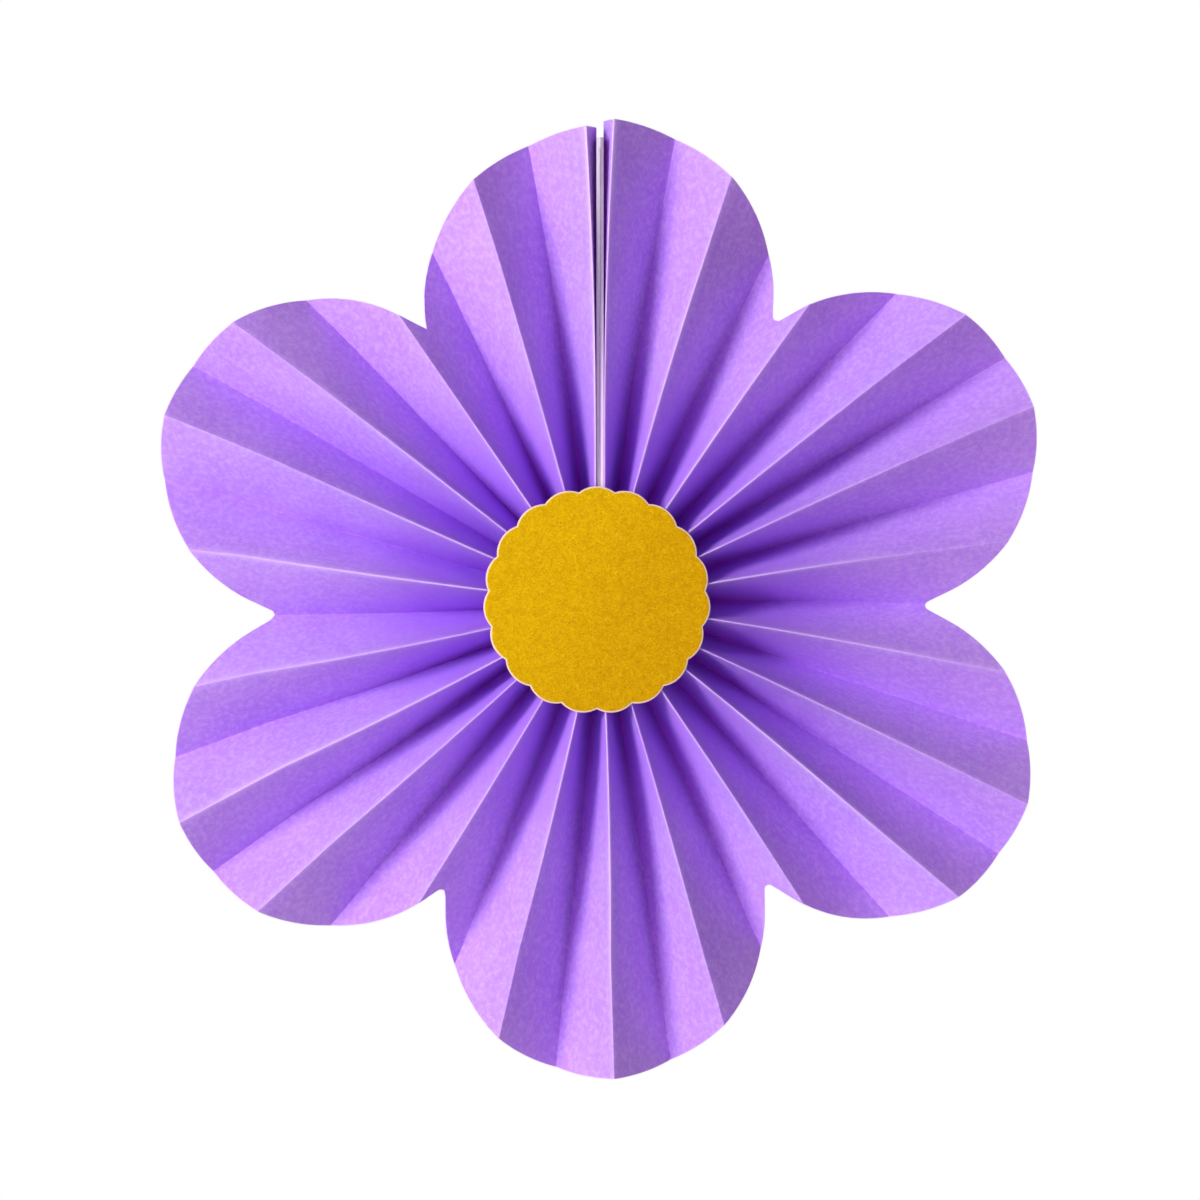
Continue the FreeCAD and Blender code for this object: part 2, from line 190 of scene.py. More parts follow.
class ShaderTree:
    """Adds nodes to a shader tree and links them, one line for each node."""

    def __init__(self, tree: bpy.types.NodeTree) -> None:
        """Takes the tree that the nodes go into."""
        self.tree = tree

    def add(self, kind: str, inputs: dict[Any, Any] | None = None, **settings: Any) -> bpy.types.Node:
        """Adds a node.

        Args:
            kind: Blender's name of the node type.
            inputs: Values or sockets by input name or number.
            **settings: The node's own properties.

        Returns:
            The node.
        """
        node = self.tree.nodes.new(kind)
        for label, value in settings.items():
            setattr(node, label, value)
        self.fill(node, inputs or {})
        return node

    def fill(self, node: bpy.types.Node, inputs: dict[Any, Any]) -> None:
        """Sets a node's inputs, and links those whose value is a socket.

        Args:
            node: The node.
            inputs: Values or sockets by input name or number.
        """
        for label, value in inputs.items():
            if isinstance(value, bpy.types.NodeSocket):
                self.tree.links.new(value, node.inputs[label])
            else:
                node.inputs[label].default_value = value

    def math(self, operation: str, *values: Any, clamp: bool = False) -> bpy.types.NodeSocket:
        """One arithmetic step on values or sockets."""
        inputs = dict(enumerate(values))
        return self.add("ShaderNodeMath", inputs, operation=operation, use_clamp=clamp).outputs[0]

    def weighed(self, *parts: tuple[Any, float]) -> bpy.types.NodeSocket:
        """The sum of several values, each times its own weight.

        Args:
            *parts: Each value with its weight.

        Returns:
            The sum.
        """
        total = self.math("MULTIPLY", *parts[0])
        for value, weight in parts[1:]:
            total = self.math("MULTIPLY_ADD", value, weight, total)
        return total

    def mix(self, share: Any, low: Any, high: Any, blend: str = "MIX") -> bpy.types.NodeSocket:
        """A colour between two others, or blended in another way.

        Args:
            share: How much of the second colour, 0 to 1.
            low: The first colour.
            high: The second colour.
            blend: Blender's name of the way to blend.

        Returns:
            The colour.
        """
        first, second = (
            colour if isinstance(colour, bpy.types.NodeSocket) else (*colour, 1.0)
            for colour in (low, high)
        )
        # Of the node's inputs 6 and 7 take the colours, and of its outputs number 2 gives theirs.
        inputs = {0: share, 6: first, 7: second}
        return self.add("ShaderNodeMix", inputs, data_type="RGBA", blend_type=blend).outputs[2]

    def ramp(self, value: Any, span: tuple[float, float], onto: tuple[float, float]) -> bpy.types.NodeSocket:
        """A smooth change of a value from one span onto another, held at both ends."""
        inputs = {"Value": value, 1: span[0], 2: span[1], 3: onto[0], 4: onto[1]}
        return self.add("ShaderNodeMapRange", inputs, interpolation_type="SMOOTHSTEP").outputs[0]

    def noise(
        self, place: Any, scale: float, detail: float = 3.0, rough: float = 0.55
    ) -> bpy.types.NodeSocket:
        """Soft noise at a number of waves to the unit of the place."""
        inputs = {"Vector": place, "Scale": scale, "Detail": detail, "Roughness": rough}
        return self.add("ShaderNodeTexNoise", inputs).outputs["Fac"]

    def place(self) -> bpy.types.NodeSocket:
        """Object coordinates in millimetres."""
        inputs = {0: self.add("ShaderNodeTexCoord").outputs["Object"], 1: (1000.0,) * 3}
        return self.add("ShaderNodeVectorMath", inputs, operation="MULTIPLY").outputs[0]

    def mark(self, name: str) -> bpy.types.NodeSocket:
        """A value that the mesh carries at its vertices."""
        return self.add("ShaderNodeAttribute", attribute_name=name).outputs["Fac"]

    def effect(self, effect: Effect, inputs: dict[str, Any]) -> bpy.types.Node:
        """Places a shared node group."""
        return self.add("ShaderNodeGroup", inputs, node_tree=bpy.data.node_groups[effect.value])

    def bump(self, height: Any, depth_mm: float) -> bpy.types.NodeSocket:
        """A normal from a height between 0 and 1 that stands for a depth in millimetres."""
        inputs = {"Height": height, "Distance": depth_mm * MM, "Strength": 1.0}
        return self.add("ShaderNodeBump", inputs).outputs["Normal"]


def new_group(
    effect: Effect, inputs: dict[str, tuple[str, Any]], outputs: tuple[str, ...]
) -> tuple[ShaderTree, bpy.types.Node, bpy.types.Node]:
    """Starts a shared node group.

    Args:
        effect: Which effect it is.
        inputs: Socket type and default value of each input.
        outputs: Names of the values that it puts out.

    Returns:
        Its tree, its input node and its output node.
    """
    tree = bpy.data.node_groups.new(effect.value, "ShaderNodeTree")
    for label, (kind, value) in inputs.items():
        socket = tree.interface.new_socket(name=label, in_out="INPUT", socket_type=kind)
        if value is not None:
            socket.default_value = value
    for label in outputs:
        tree.interface.new_socket(name=label, in_out="OUTPUT", socket_type="NodeSocketFloat")
    shader = ShaderTree(tree)
    return shader, shader.add("NodeGroupInput"), shader.add("NodeGroupOutput")


def make_effects() -> None:
    """Builds the shared node groups."""
    shader, given, result = new_group(
        Effect.FIBRES,
        {"Place": ("NodeSocketVector", None), "Felt": ("NodeSocketFloat", 1.0)},
        ("Cloud", "Height"),
    )
    # Cloud: slow patches of the sheet's density. Height: crossing fibres over a fine grain.
    place = given.outputs["Place"]
    patches = shader.noise(place, 0.045, 4.0, 0.6)
    weave = shader.noise(place, 0.9, 3.0, 0.5)
    cloud = shader.weighed((patches, 0.7), (weave, 0.3))
    stretched = shader.add("ShaderNodeMapping", {"Vector": place, "Scale": (1.0, 1.0, 0.22)}).outputs[0]
    crossed = shader.add("ShaderNodeMapping", {"Vector": place, "Scale": (0.22, 1.0, 1.0)}).outputs[0]
    fibres = shader.math("MAXIMUM", shader.noise(stretched, 4.0, 2.0), shader.noise(crossed, 4.0, 2.0))
    grain = shader.noise(place, 9.0, 2.0, 0.6)
    mixed = shader.math("MULTIPLY_ADD", fibres, given.outputs["Felt"], grain)
    shader.fill(result, {"Cloud": cloud, "Height": shader.math("MULTIPLY", mixed, 0.5)})

    shader, given, result = new_group(
        Effect.BROKEN_LINE,
        {
            "Place": ("NodeSocketVector", None),
            "Distance": ("NodeSocketFloat", 1.0),
            "Width": ("NodeSocketFloat", 0.5),
            "Breakup": ("NodeSocketFloat", 0.5),
        },
        ("Mask",),
    )
    # Mask: 1 on the line, 0 from one width on. Its last input lets noise narrow and break the line.
    broken = shader.noise(given.outputs["Place"], 0.35, 4.0, 0.65)
    narrowing = shader.math("MULTIPLY", shader.math("SUBTRACT", broken, 0.35), given.outputs["Breakup"])
    width = shader.math("SUBTRACT", given.outputs["Width"], narrowing)
    share = shader.math("DIVIDE", given.outputs["Distance"], shader.math("MAXIMUM", width, 0.02))
    fade = shader.math("SUBTRACT", 1.0, shader.math("SMOOTH_MIN", share, 1.0, 0.4), clamp=True)
    shader.fill(result, {"Mask": fade})


@dataclass(frozen=True)
class Finish:
    """What every finish has: the name of its slot and a matte or glossy surface."""

    slot: str
    roughness: float
    specular: float

    def start(self) -> tuple[bpy.types.Material, ShaderTree, bpy.types.Node]:
        """Makes the material with its own shader node.

        Returns:
            The material, its tree and its shader node.
        """
        material = bpy.data.materials.new(self.slot)
        material.use_nodes = True
        material.node_tree.nodes.clear()
        shader = ShaderTree(material.node_tree)
        plain = {"Specular IOR Level": self.specular, "Roughness": self.roughness}
        surface = shader.add("ShaderNodeBsdfPrincipled", plain)
        shader.add("ShaderNodeOutputMaterial", {"Surface": surface.outputs[0]})
        return material, shader, surface

    def rough(
        self, shader: ShaderTree, value: Any, span: tuple[float, float], change: tuple[float, float]
    ) -> bpy.types.NodeSocket:
        """The roughness, varied by what a value says.

        Args:
            shader: The material's tree.
            value: What the roughness follows.
            span: The part of the value that counts.
            change: What is added to the roughness at both ends of the span.

        Returns:
            The roughness.
        """
        low, high = (self.roughness + step for step in change)
        return shader.ramp(value, span, (low, high))


@dataclass(frozen=True)
class FoldedPaper(Finish):
    """Dyed paper, rubbed pale along its folds with a painted highlight, and pale where it is cut.

    Some light passes through it, more of the colours that its dye lets through. Near the hub,
    where the pleats shade each other, painted shade makes it a deeper violet.
    """

    sheet: Colour
    deep: Colour
    # Painted shade: the deeper violet near the hub, where the pleats shade each other
    hub_shade: Colour
    mottled: Colour
    # Pale of the rubbed folds, which also paints their highlight, and of the fibre specks
    wear_and_highlight: Colour
    cut: Colour
    light_through: float
    through_mm: float
    through_colour: Colour
    mottling: float
    relief_mm: float = 0.045
    # Distances from the hub between which the painted hub shade gives way to the sheet's colour
    hub_shade_span: tuple[float, float] = (28.0, 75.0)
    # Width and strength of the two pale layers along a fold: a soft haze, painted highlight of the
    # rounded fold, and the line itself, rubbed paper that also carries that painted highlight
    fold_lines: tuple[tuple[float, float], ...] = ((2.8, 0.35), (1.1, 0.9))
    # Weights of the fibres, the mottling and the slow swell of the sheet in its relief
    reliefs: tuple[float, float, float] = (1.0, 2.2, 18.0)

    def make(self) -> bpy.types.Material:
        """Builds the material.

        The mesh carries "fold", the distance to the nearest fold that stands out on that side,
        "fold_wear_and_highlight", how strongly that fold is rubbed pale and given a painted
        highlight there, and "rim", the distance to the cut edge, all in millimetres apart from
        that strength.

        Returns:
            The material.
        """
        material, shader, surface = self.start()
        surface.subsurface_method = "BURLEY"
        surface.inputs["Subsurface Weight"].default_value = self.light_through
        surface.inputs["Subsurface Radius"].default_value = self.through_colour
        surface.inputs["Subsurface Scale"].default_value = self.through_mm * MM
        place = shader.place()
        fibres = shader.effect(Effect.FIBRES, {"Place": place, "Felt": 0.8})
        cloud, height = fibres.outputs["Cloud"], fibres.outputs["Height"]
        colour = shader.mix(shader.ramp(cloud, (0.3, 0.7), (0.0, 1.0)), self.deep, self.sheet)
        mottle = shader.noise(place, 0.7, 4.0, 0.75)
        pale = shader.ramp(mottle, (0.4, 0.66), (0.0, self.mottling))
        colour = shader.mix(pale, colour, self.mottled)
        # Painted shade: a deeper violet near the hub, where the pleats shade each other.
        flat = shader.add("ShaderNodeVectorMath", {0: place, 1: (1.0, 0.0, 1.0)}, operation="MULTIPLY")
        away = shader.add("ShaderNodeVectorMath", {0: flat.outputs[0]}, operation="LENGTH")
        hub_shade_share = shader.ramp(away.outputs["Value"], self.hub_shade_span, (1.0, 0.0))
        colour = shader.mix(hub_shade_share, colour, self.hub_shade)
        speck = shader.ramp(height, (0.35, 0.75), (0.0, 0.22))
        colour = shader.mix(speck, colour, self.wear_and_highlight, "SOFT_LIGHT")
        # Pale lines along the folds: rubbed paper and a painted highlight of the rounded fold.
        fold_wear_and_highlight = shader.mark("fold_wear_and_highlight")
        for width, share in self.fold_lines:
            line = {"Place": place, "Distance": shader.mark("fold"), "Width": width, "Breakup": width}
            fold = shader.effect(Effect.BROKEN_LINE, line).outputs[0]
            strength = shader.math("MULTIPLY", shader.math("MULTIPLY", fold, fold_wear_and_highlight), share)
            colour = shader.mix(strength, colour, self.wear_and_highlight)
        edge = {"Place": place, "Distance": shader.mark("rim"), "Width": 0.35, "Breakup": 0.3}
        rim = shader.effect(Effect.BROKEN_LINE, edge).outputs[0]
        colour = shader.mix(rim, colour, self.cut)
        rough = self.rough(shader, height, (0.3, 0.8), (-0.08, 0.1))
        swell = shader.noise(place, 0.05, 2.0, 0.4)
        rise = shader.weighed(*zip((height, mottle, swell), self.reliefs))
        normal = shader.bump(rise, self.relief_mm)
        shader.fill(surface, {"Base Color": colour, "Roughness": rough, "Normal": normal})
        return material


@dataclass(frozen=True)
class GlitterCard(Finish):
    """Card with a layer of fine glitter flakes, and a pale edge where the die pressed it."""

    bright: Colour
    dark: Colour
    glint: Colour
    # Painted shade: what the gold is multiplied by down to the right, away from the key lamp
    lower_right_shade: Colour
    edge: Colour
    card_back: Colour
    flake_mm: float
    relief_mm: float = 0.05
    # Painted shade: the gold gets darker and warmer down to the right, away from the key lamp.
    # The way in which it does, and between which places on it
    shade_slope: tuple[float, float, float] = (0.9, 0.0, -0.45)
    shade_span: tuple[float, float] = (-16.0, 14.0)

    def make(self) -> bpy.types.Material:
        """Builds the material.

        The mesh carries "rim", the distance to the cut edge in millimetres, and "face", which is
        1 on the glittering side.

        Returns:
            The material.
        """
        material, shader, surface = self.start()
        place = shader.place()
        cells = {"Vector": place, "Scale": 1.0 / self.flake_mm, "Randomness": 1.0}
        flakes = shader.add("ShaderNodeTexVoronoi", cells, feature="F1")
        tint = shader.add("ShaderNodeSeparateColor", {0: flakes.outputs["Color"]})
        one, two, three = tint.outputs[0], tint.outputs[1], tint.outputs[2]
        patch = shader.noise(place, 0.45, 4.0, 0.75)
        share = shader.weighed((one, 0.35), (patch, 0.65))
        colour = shader.mix(shader.ramp(share, (0.25, 0.75), (0.0, 1.0)), self.dark, self.bright)
        # Painted shade: darker and warmer gold down to the right, away from the key lamp.
        along = {0: place, 1: self.shade_slope}
        slope = shader.add("ShaderNodeVectorMath", along, operation="DOT_PRODUCT")
        lower_right_shade = shader.ramp(slope.outputs["Value"], self.shade_span, (0.0, 1.0))
        colour = shader.mix(lower_right_shade, colour, self.lower_right_shade, "MULTIPLY")
        glint = shader.ramp(two, (0.9, 0.98), (0.0, 0.5))
        colour = shader.mix(glint, colour, self.glint)
        face = shader.mark("face")
        line = {"Place": place, "Distance": shader.mark("rim"), "Width": 0.6, "Breakup": 0.4}
        rim = shader.effect(Effect.BROKEN_LINE, line).outputs[0]
        pale = shader.ramp(rim, (0.1, 0.45), (0.0, 1.0))
        colour = shader.mix(pale, colour, self.edge)
        colour = shader.mix(face, self.card_back, colour)
        glitter = shader.math("MULTIPLY", face, shader.math("SUBTRACT", 1.0, pale))
        shine = shader.math("MULTIPLY", glitter, shader.ramp(three, (0.2, 0.9), (0.2, 0.5)))
        gloss = shader.math("MULTIPLY", glitter, shader.ramp(two, (0.5, 1.0), (0.0, 0.3)))
        rough = shader.math("SUBTRACT", self.roughness, gloss)
        tipped = shader.weighed((flakes.outputs["Distance"], 0.5), (three, 0.5))
        normal = shader.bump(shader.math("MULTIPLY", tipped, glitter), self.relief_mm)
        surfaced = {"Base Color": colour, "Metallic": shine, "Roughness": rough, "Normal": normal}
        shader.fill(surface, surfaced)
        return material


@dataclass(frozen=True)
class GreyBoard(Finish):
    """Pressed grey board with flecks and torn fibres on its cut edge; painted light pales it near the hub.
    """

    body: Colour
    fleck: Colour
    pale: Colour
    # Painted light: the colour that the board turns near the hub
    hub: Colour
    relief_mm: float = 0.08
    # Heights over the hub between which its painted light ends
    hub_light_reach: tuple[float, float] = (50.0, 85.0)
    # Ply lines to the millimetre across the board, times two pi
    ply_rate: float = 30.0

    def make(self, name: str) -> bpy.types.Material:
        """Builds the material.

        Args:
            name: The material's own name, because two boards share a slot.

        Returns:
            The material.
        """
        material, shader, surface = self.start()
        material.name = name
        place = shader.place()
        fibres = shader.effect(Effect.FIBRES, {"Place": place, "Felt": 1.3})
        cloud, height = fibres.outputs["Cloud"], fibres.outputs["Height"]
        colour = shader.mix(shader.ramp(cloud, (0.3, 0.7), (0.0, 1.0)), self.body, self.pale)
        flecks = shader.ramp(shader.noise(place, 2.2, 4.0, 0.75), (0.6, 0.72), (0.0, 0.7))
        colour = shader.mix(flecks, colour, self.fleck)
        axes = shader.add("ShaderNodeSeparateXYZ", {0: place})
        # The ply lines run along the board, a fifth of a millimetre apart across it.
        wavy = shader.weighed((shader.noise(place, 0.4), 0.5), (axes.outputs[0], 1.0))
        layers = shader.math("SINE", shader.math("MULTIPLY", wavy, self.ply_rate))
        colour = shader.mix(shader.ramp(layers, (0.2, 1.0), (0.0, 0.2)), colour, self.fleck)
        # Painted light: near the hub the board turns pale pink-white.
        colour = shader.mix(shader.ramp(axes.outputs[2], self.hub_light_reach, (0.95, 0.0)), colour, self.hub)
        rough = self.rough(shader, height, (0.3, 0.8), (-0.1, 0.08))
        normal = shader.bump(shader.weighed((height, 1.0), (layers, 0.2)), self.relief_mm)
        shader.fill(surface, {"Base Color": colour, "Roughness": rough, "Normal": normal})
        return material


@dataclass(frozen=True)
class ClearedLayer(Finish):
    """A cloudy layer of tape or glue: patchy, with small bubbles."""

    clear: Colour
    cloudy: Colour
    bubble_mm: float
    relief_mm: float = 0.06

    def make(self) -> bpy.types.Material:
        """Builds the material.

        Returns:
            The material.
        """
        material, shader, surface = self.start()
        place = shader.place()
        patches = shader.noise(place, 0.3, 4.0, 0.6)
        bubbles = shader.add("ShaderNodeTexVoronoi", {"Vector": place, "Scale": 1.0 / self.bubble_mm})
        ring = shader.ramp(bubbles.outputs["Distance"], (0.08, 0.3), (1.0, 0.0))
        share = shader.weighed((shader.ramp(patches, (0.35, 0.65), (0.0, 1.0)), 0.8), (ring, 0.2))
        colour = shader.mix(share, self.clear, self.cloudy)
        rough = self.rough(shader, patches, (0.3, 0.7), (-0.08, 0.12))
        normal = shader.bump(shader.weighed((patches, 1.0), (ring, -0.4)), self.relief_mm)
        shader.fill(surface, {"Base Color": colour, "Roughness": rough, "Normal": normal})
        return material


@dataclass(frozen=True)
class TwistedThread(Finish):
    """Cotton thread: pale ridges with painted shade in the hollows, and a fuzz of fine fibres."""

    ridge: Colour
    # Painted shade where the strands press together
    hollow: Colour
    relief_mm: float = 0.05

    def make(self) -> bpy.types.Material:
        """Builds the material. The mesh carries "strand", from 0 in a hollow to 1 on a ridge.

        Returns:
            The material.
        """
        material, shader, surface = self.start()
        place = shader.place()
        fuzz = shader.noise(place, 14.0, 3.0, 0.7)
        share = shader.weighed((shader.mark("strand"), 0.7), (fuzz, 0.3))
        # Painted shade: darker where the strands press together.
        colour = shader.mix(shader.ramp(share, (0.1, 0.8), (0.0, 1.0)), self.hollow, self.ridge)
        rough = self.rough(shader, fuzz, (0.3, 0.7), (-0.1, 0.05))
        normal = shader.bump(fuzz, self.relief_mm)
        shader.fill(surface, {"Base Color": colour, "Roughness": rough, "Normal": normal})
        return material


LILAC_PAPER = FoldedPaper(
    slot="lilac_paper",
    roughness=0.62,
    specular=0.25,
    sheet=(0.53, 0.3, 0.88),
    deep=(0.47, 0.24, 0.85),
    # painted shade near the hub
    hub_shade=(0.46, 0.205, 0.88),
    mottled=(0.66, 0.45, 0.93),
    # rubbed folds, and their painted highlight
    wear_and_highlight=(0.79, 0.59, 1.0),
    cut=(0.74, 0.55, 0.96),
    light_through=0.8,
    through_mm=0.6,
    through_colour=(1.0, 0.3, 1.0),
    mottling=0.6,
)
GOLD_GLITTER = GlitterCard(
    slot="gold_glitter_card",
    roughness=0.5,
    specular=0.05,
    bright=(0.78, 0.45, 0.0015),
    dark=(0.6, 0.325, 0.0005),
    glint=(0.95, 0.64, 0.015),
    # painted shade down to the right
    lower_right_shade=(0.92, 0.84, 0.9),
    edge=(0.93, 0.66, 0.5),
    card_back=(0.86, 0.82, 0.74),
    flake_mm=0.36,
)
# One grey board as a painted lit copy: pale, with a painted lilac tint of light reflected from the paper,
# and painted paler near the hub.
LIT_LEFT_BOARD = GreyBoard(
    slot="grey_board",
    roughness=0.85,
    specular=0.25,
    body=(0.86, 0.7, 0.93),
    fleck=(0.62, 0.46, 0.72),
    pale=(0.93, 0.82, 0.97),
    hub=(0.99, 0.84, 0.99),
)
# The same board as a painted shaded copy: darker, with the same painted lilac tint, and painted pale near
# the hub.
SHADED_RIGHT_BOARD = GreyBoard(
    slot="grey_board",
    roughness=0.85,
    specular=0.25,
    body=(0.4, 0.3, 0.47),
    fleck=(0.25, 0.17, 0.33),
    pale=(0.52, 0.42, 0.58),
    hub=(0.97, 0.76, 0.98),
)
SEAM_TAPE = ClearedLayer(
    slot="seam_tape",
    roughness=0.35,
    specular=0.5,
    clear=(0.62, 0.58, 0.5),
    cloudy=(0.86, 0.83, 0.76),
    bubble_mm=1.6,
)
SET_GLUE = ClearedLayer(
    slot="glue",
    roughness=0.3,
    specular=0.5,
    clear=(0.72, 0.62, 0.42),
    cloudy=(0.88, 0.84, 0.72),
    bubble_mm=0.9,
)
COTTON_THREAD = TwistedThread(
    slot="cotton_thread",
    roughness=0.85,
    specular=0.2,
    ridge=(0.85, 0.8, 0.82),
    # painted shade in the hollows between the strands
    hollow=(0.5, 0.42, 0.52),
)


# The sheet


@dataclass(frozen=True)
class PetalOutline:
    """The cut edge as a distance from the hub at each angle, in millimetres and degrees."""

    petals: int = 6
    head_centre: float = 81.4
    head_radius: float = 42.4
    side_angle: float = 2.0
    notch_radius: float = 84.5
    notch_round: float = 1.3
    seam_step: float = 1.7
    # How far the hand-set folds carried each petal's axis and each notch round, in degrees,
    # and how far they drew the edge in there. The first is the top petal's axis.
    carried: tuple[float, ...] = (0.3, 2.0, 1.8, 1.0, 0.6, -0.4, -0.6, -1.6, -2.1, -2.6, -3.1, -2.7)
    drawn_in: tuple[float, ...] = (-0.8, 0.2, 0.2, 0.8, 0.2, 0.0, -0.2, 0.4, 0.0, 0.8, 0.8, 0.8)

    def tip(self) -> float:
        """Distance from the hub to the tip of a petal."""
        return self.head_centre + self.head_radius

    def side(self) -> tuple[np.ndarray, np.ndarray]:
        """The two ends of a petal's straight side, across and along the petal's axis.

        Returns:
            The end on the head's circle and the end at the notch.
        """
        lean = math.radians(self.side_angle)
        top = np.array([math.cos(lean), math.sin(lean)]) * self.head_radius
        top[1] += self.head_centre
        half = math.pi / self.petals
        foot = np.array([math.sin(half), math.cos(half)]) * self.notch_radius
        return top, foot

    def radius(self, angle: np.ndarray) -> np.ndarray:
        """Distance from the hub to the edge.

        It is the even outline, carried round and drawn in by amounts that change smoothly
        between the petals' axes and the notches.

        Args:
            angle: Radians clockwise from the top petal's axis.

        Returns:
            The distances.
        """
        turn = np.mod(angle, 2 * math.pi)
        shift = np.radians(smooth_round(turn, self.carried))
        return self.even_radius(angle - shift, turn > math.pi) - smooth_round(turn, self.drawn_in)

    def even_radius(self, angle: np.ndarray, on_left: np.ndarray) -> np.ndarray:
        """Distance from the hub to the outline before the folds were set.

        The far side of the head's circle, then the line down its straight side, then the near
        side of the small circle that rounds the notch. The left half of the top petal is cut by
        a circle that stands lower.

        Args:
            angle: Radians clockwise from the top petal's axis.
            on_left: Whether the point is left of the seam.

        Returns:
            The distances.
        """
        spacing = 2 * math.pi / self.petals
        whole = np.round(angle / spacing)
        off = angle - whole * spacing
        head = self.circle(off, self.head_centre)
        top, foot = self.side()
        run = foot - top
        reach = abs(top[0] * foot[1] - top[1] * foot[0])
        line = reach / np.abs(run[0] * np.cos(off) - run[1] * np.sin(np.abs(off)))
        edge = np.where(np.abs(off) < math.atan2(top[0], top[1]), head, line)
        half = spacing / 2
        opening = half - math.atan2(-run[0], -run[1])
        middle = self.notch_radius + self.notch_round / math.sin(opening)
        away = np.abs(off) - half
        across = middle * np.sin(away)
        inside = np.abs(across) < self.notch_round * math.cos(opening)
        round_part = middle * np.cos(away) - np.sqrt(np.maximum(self.notch_round**2 - across**2, 0))
        edge = np.where(inside, round_part, edge)
        turn = np.mod(angle + math.pi, 2 * math.pi) - math.pi
        stepped = on_left & (np.abs(turn) < half)
        lower = self.circle(np.where(stepped, turn, 0.0), self.head_centre - self.seam_step)
        return np.where(stepped, np.minimum(edge, lower), edge)

    def circle(self, off: np.ndarray, centre: float) -> np.ndarray:
        """Far side of a circle of the head's radius, as seen from the hub."""
        across = np.minimum(np.abs(centre * np.sin(off)), self.head_radius)
        return centre * np.cos(off) + np.sqrt(self.head_radius**2 - across**2)


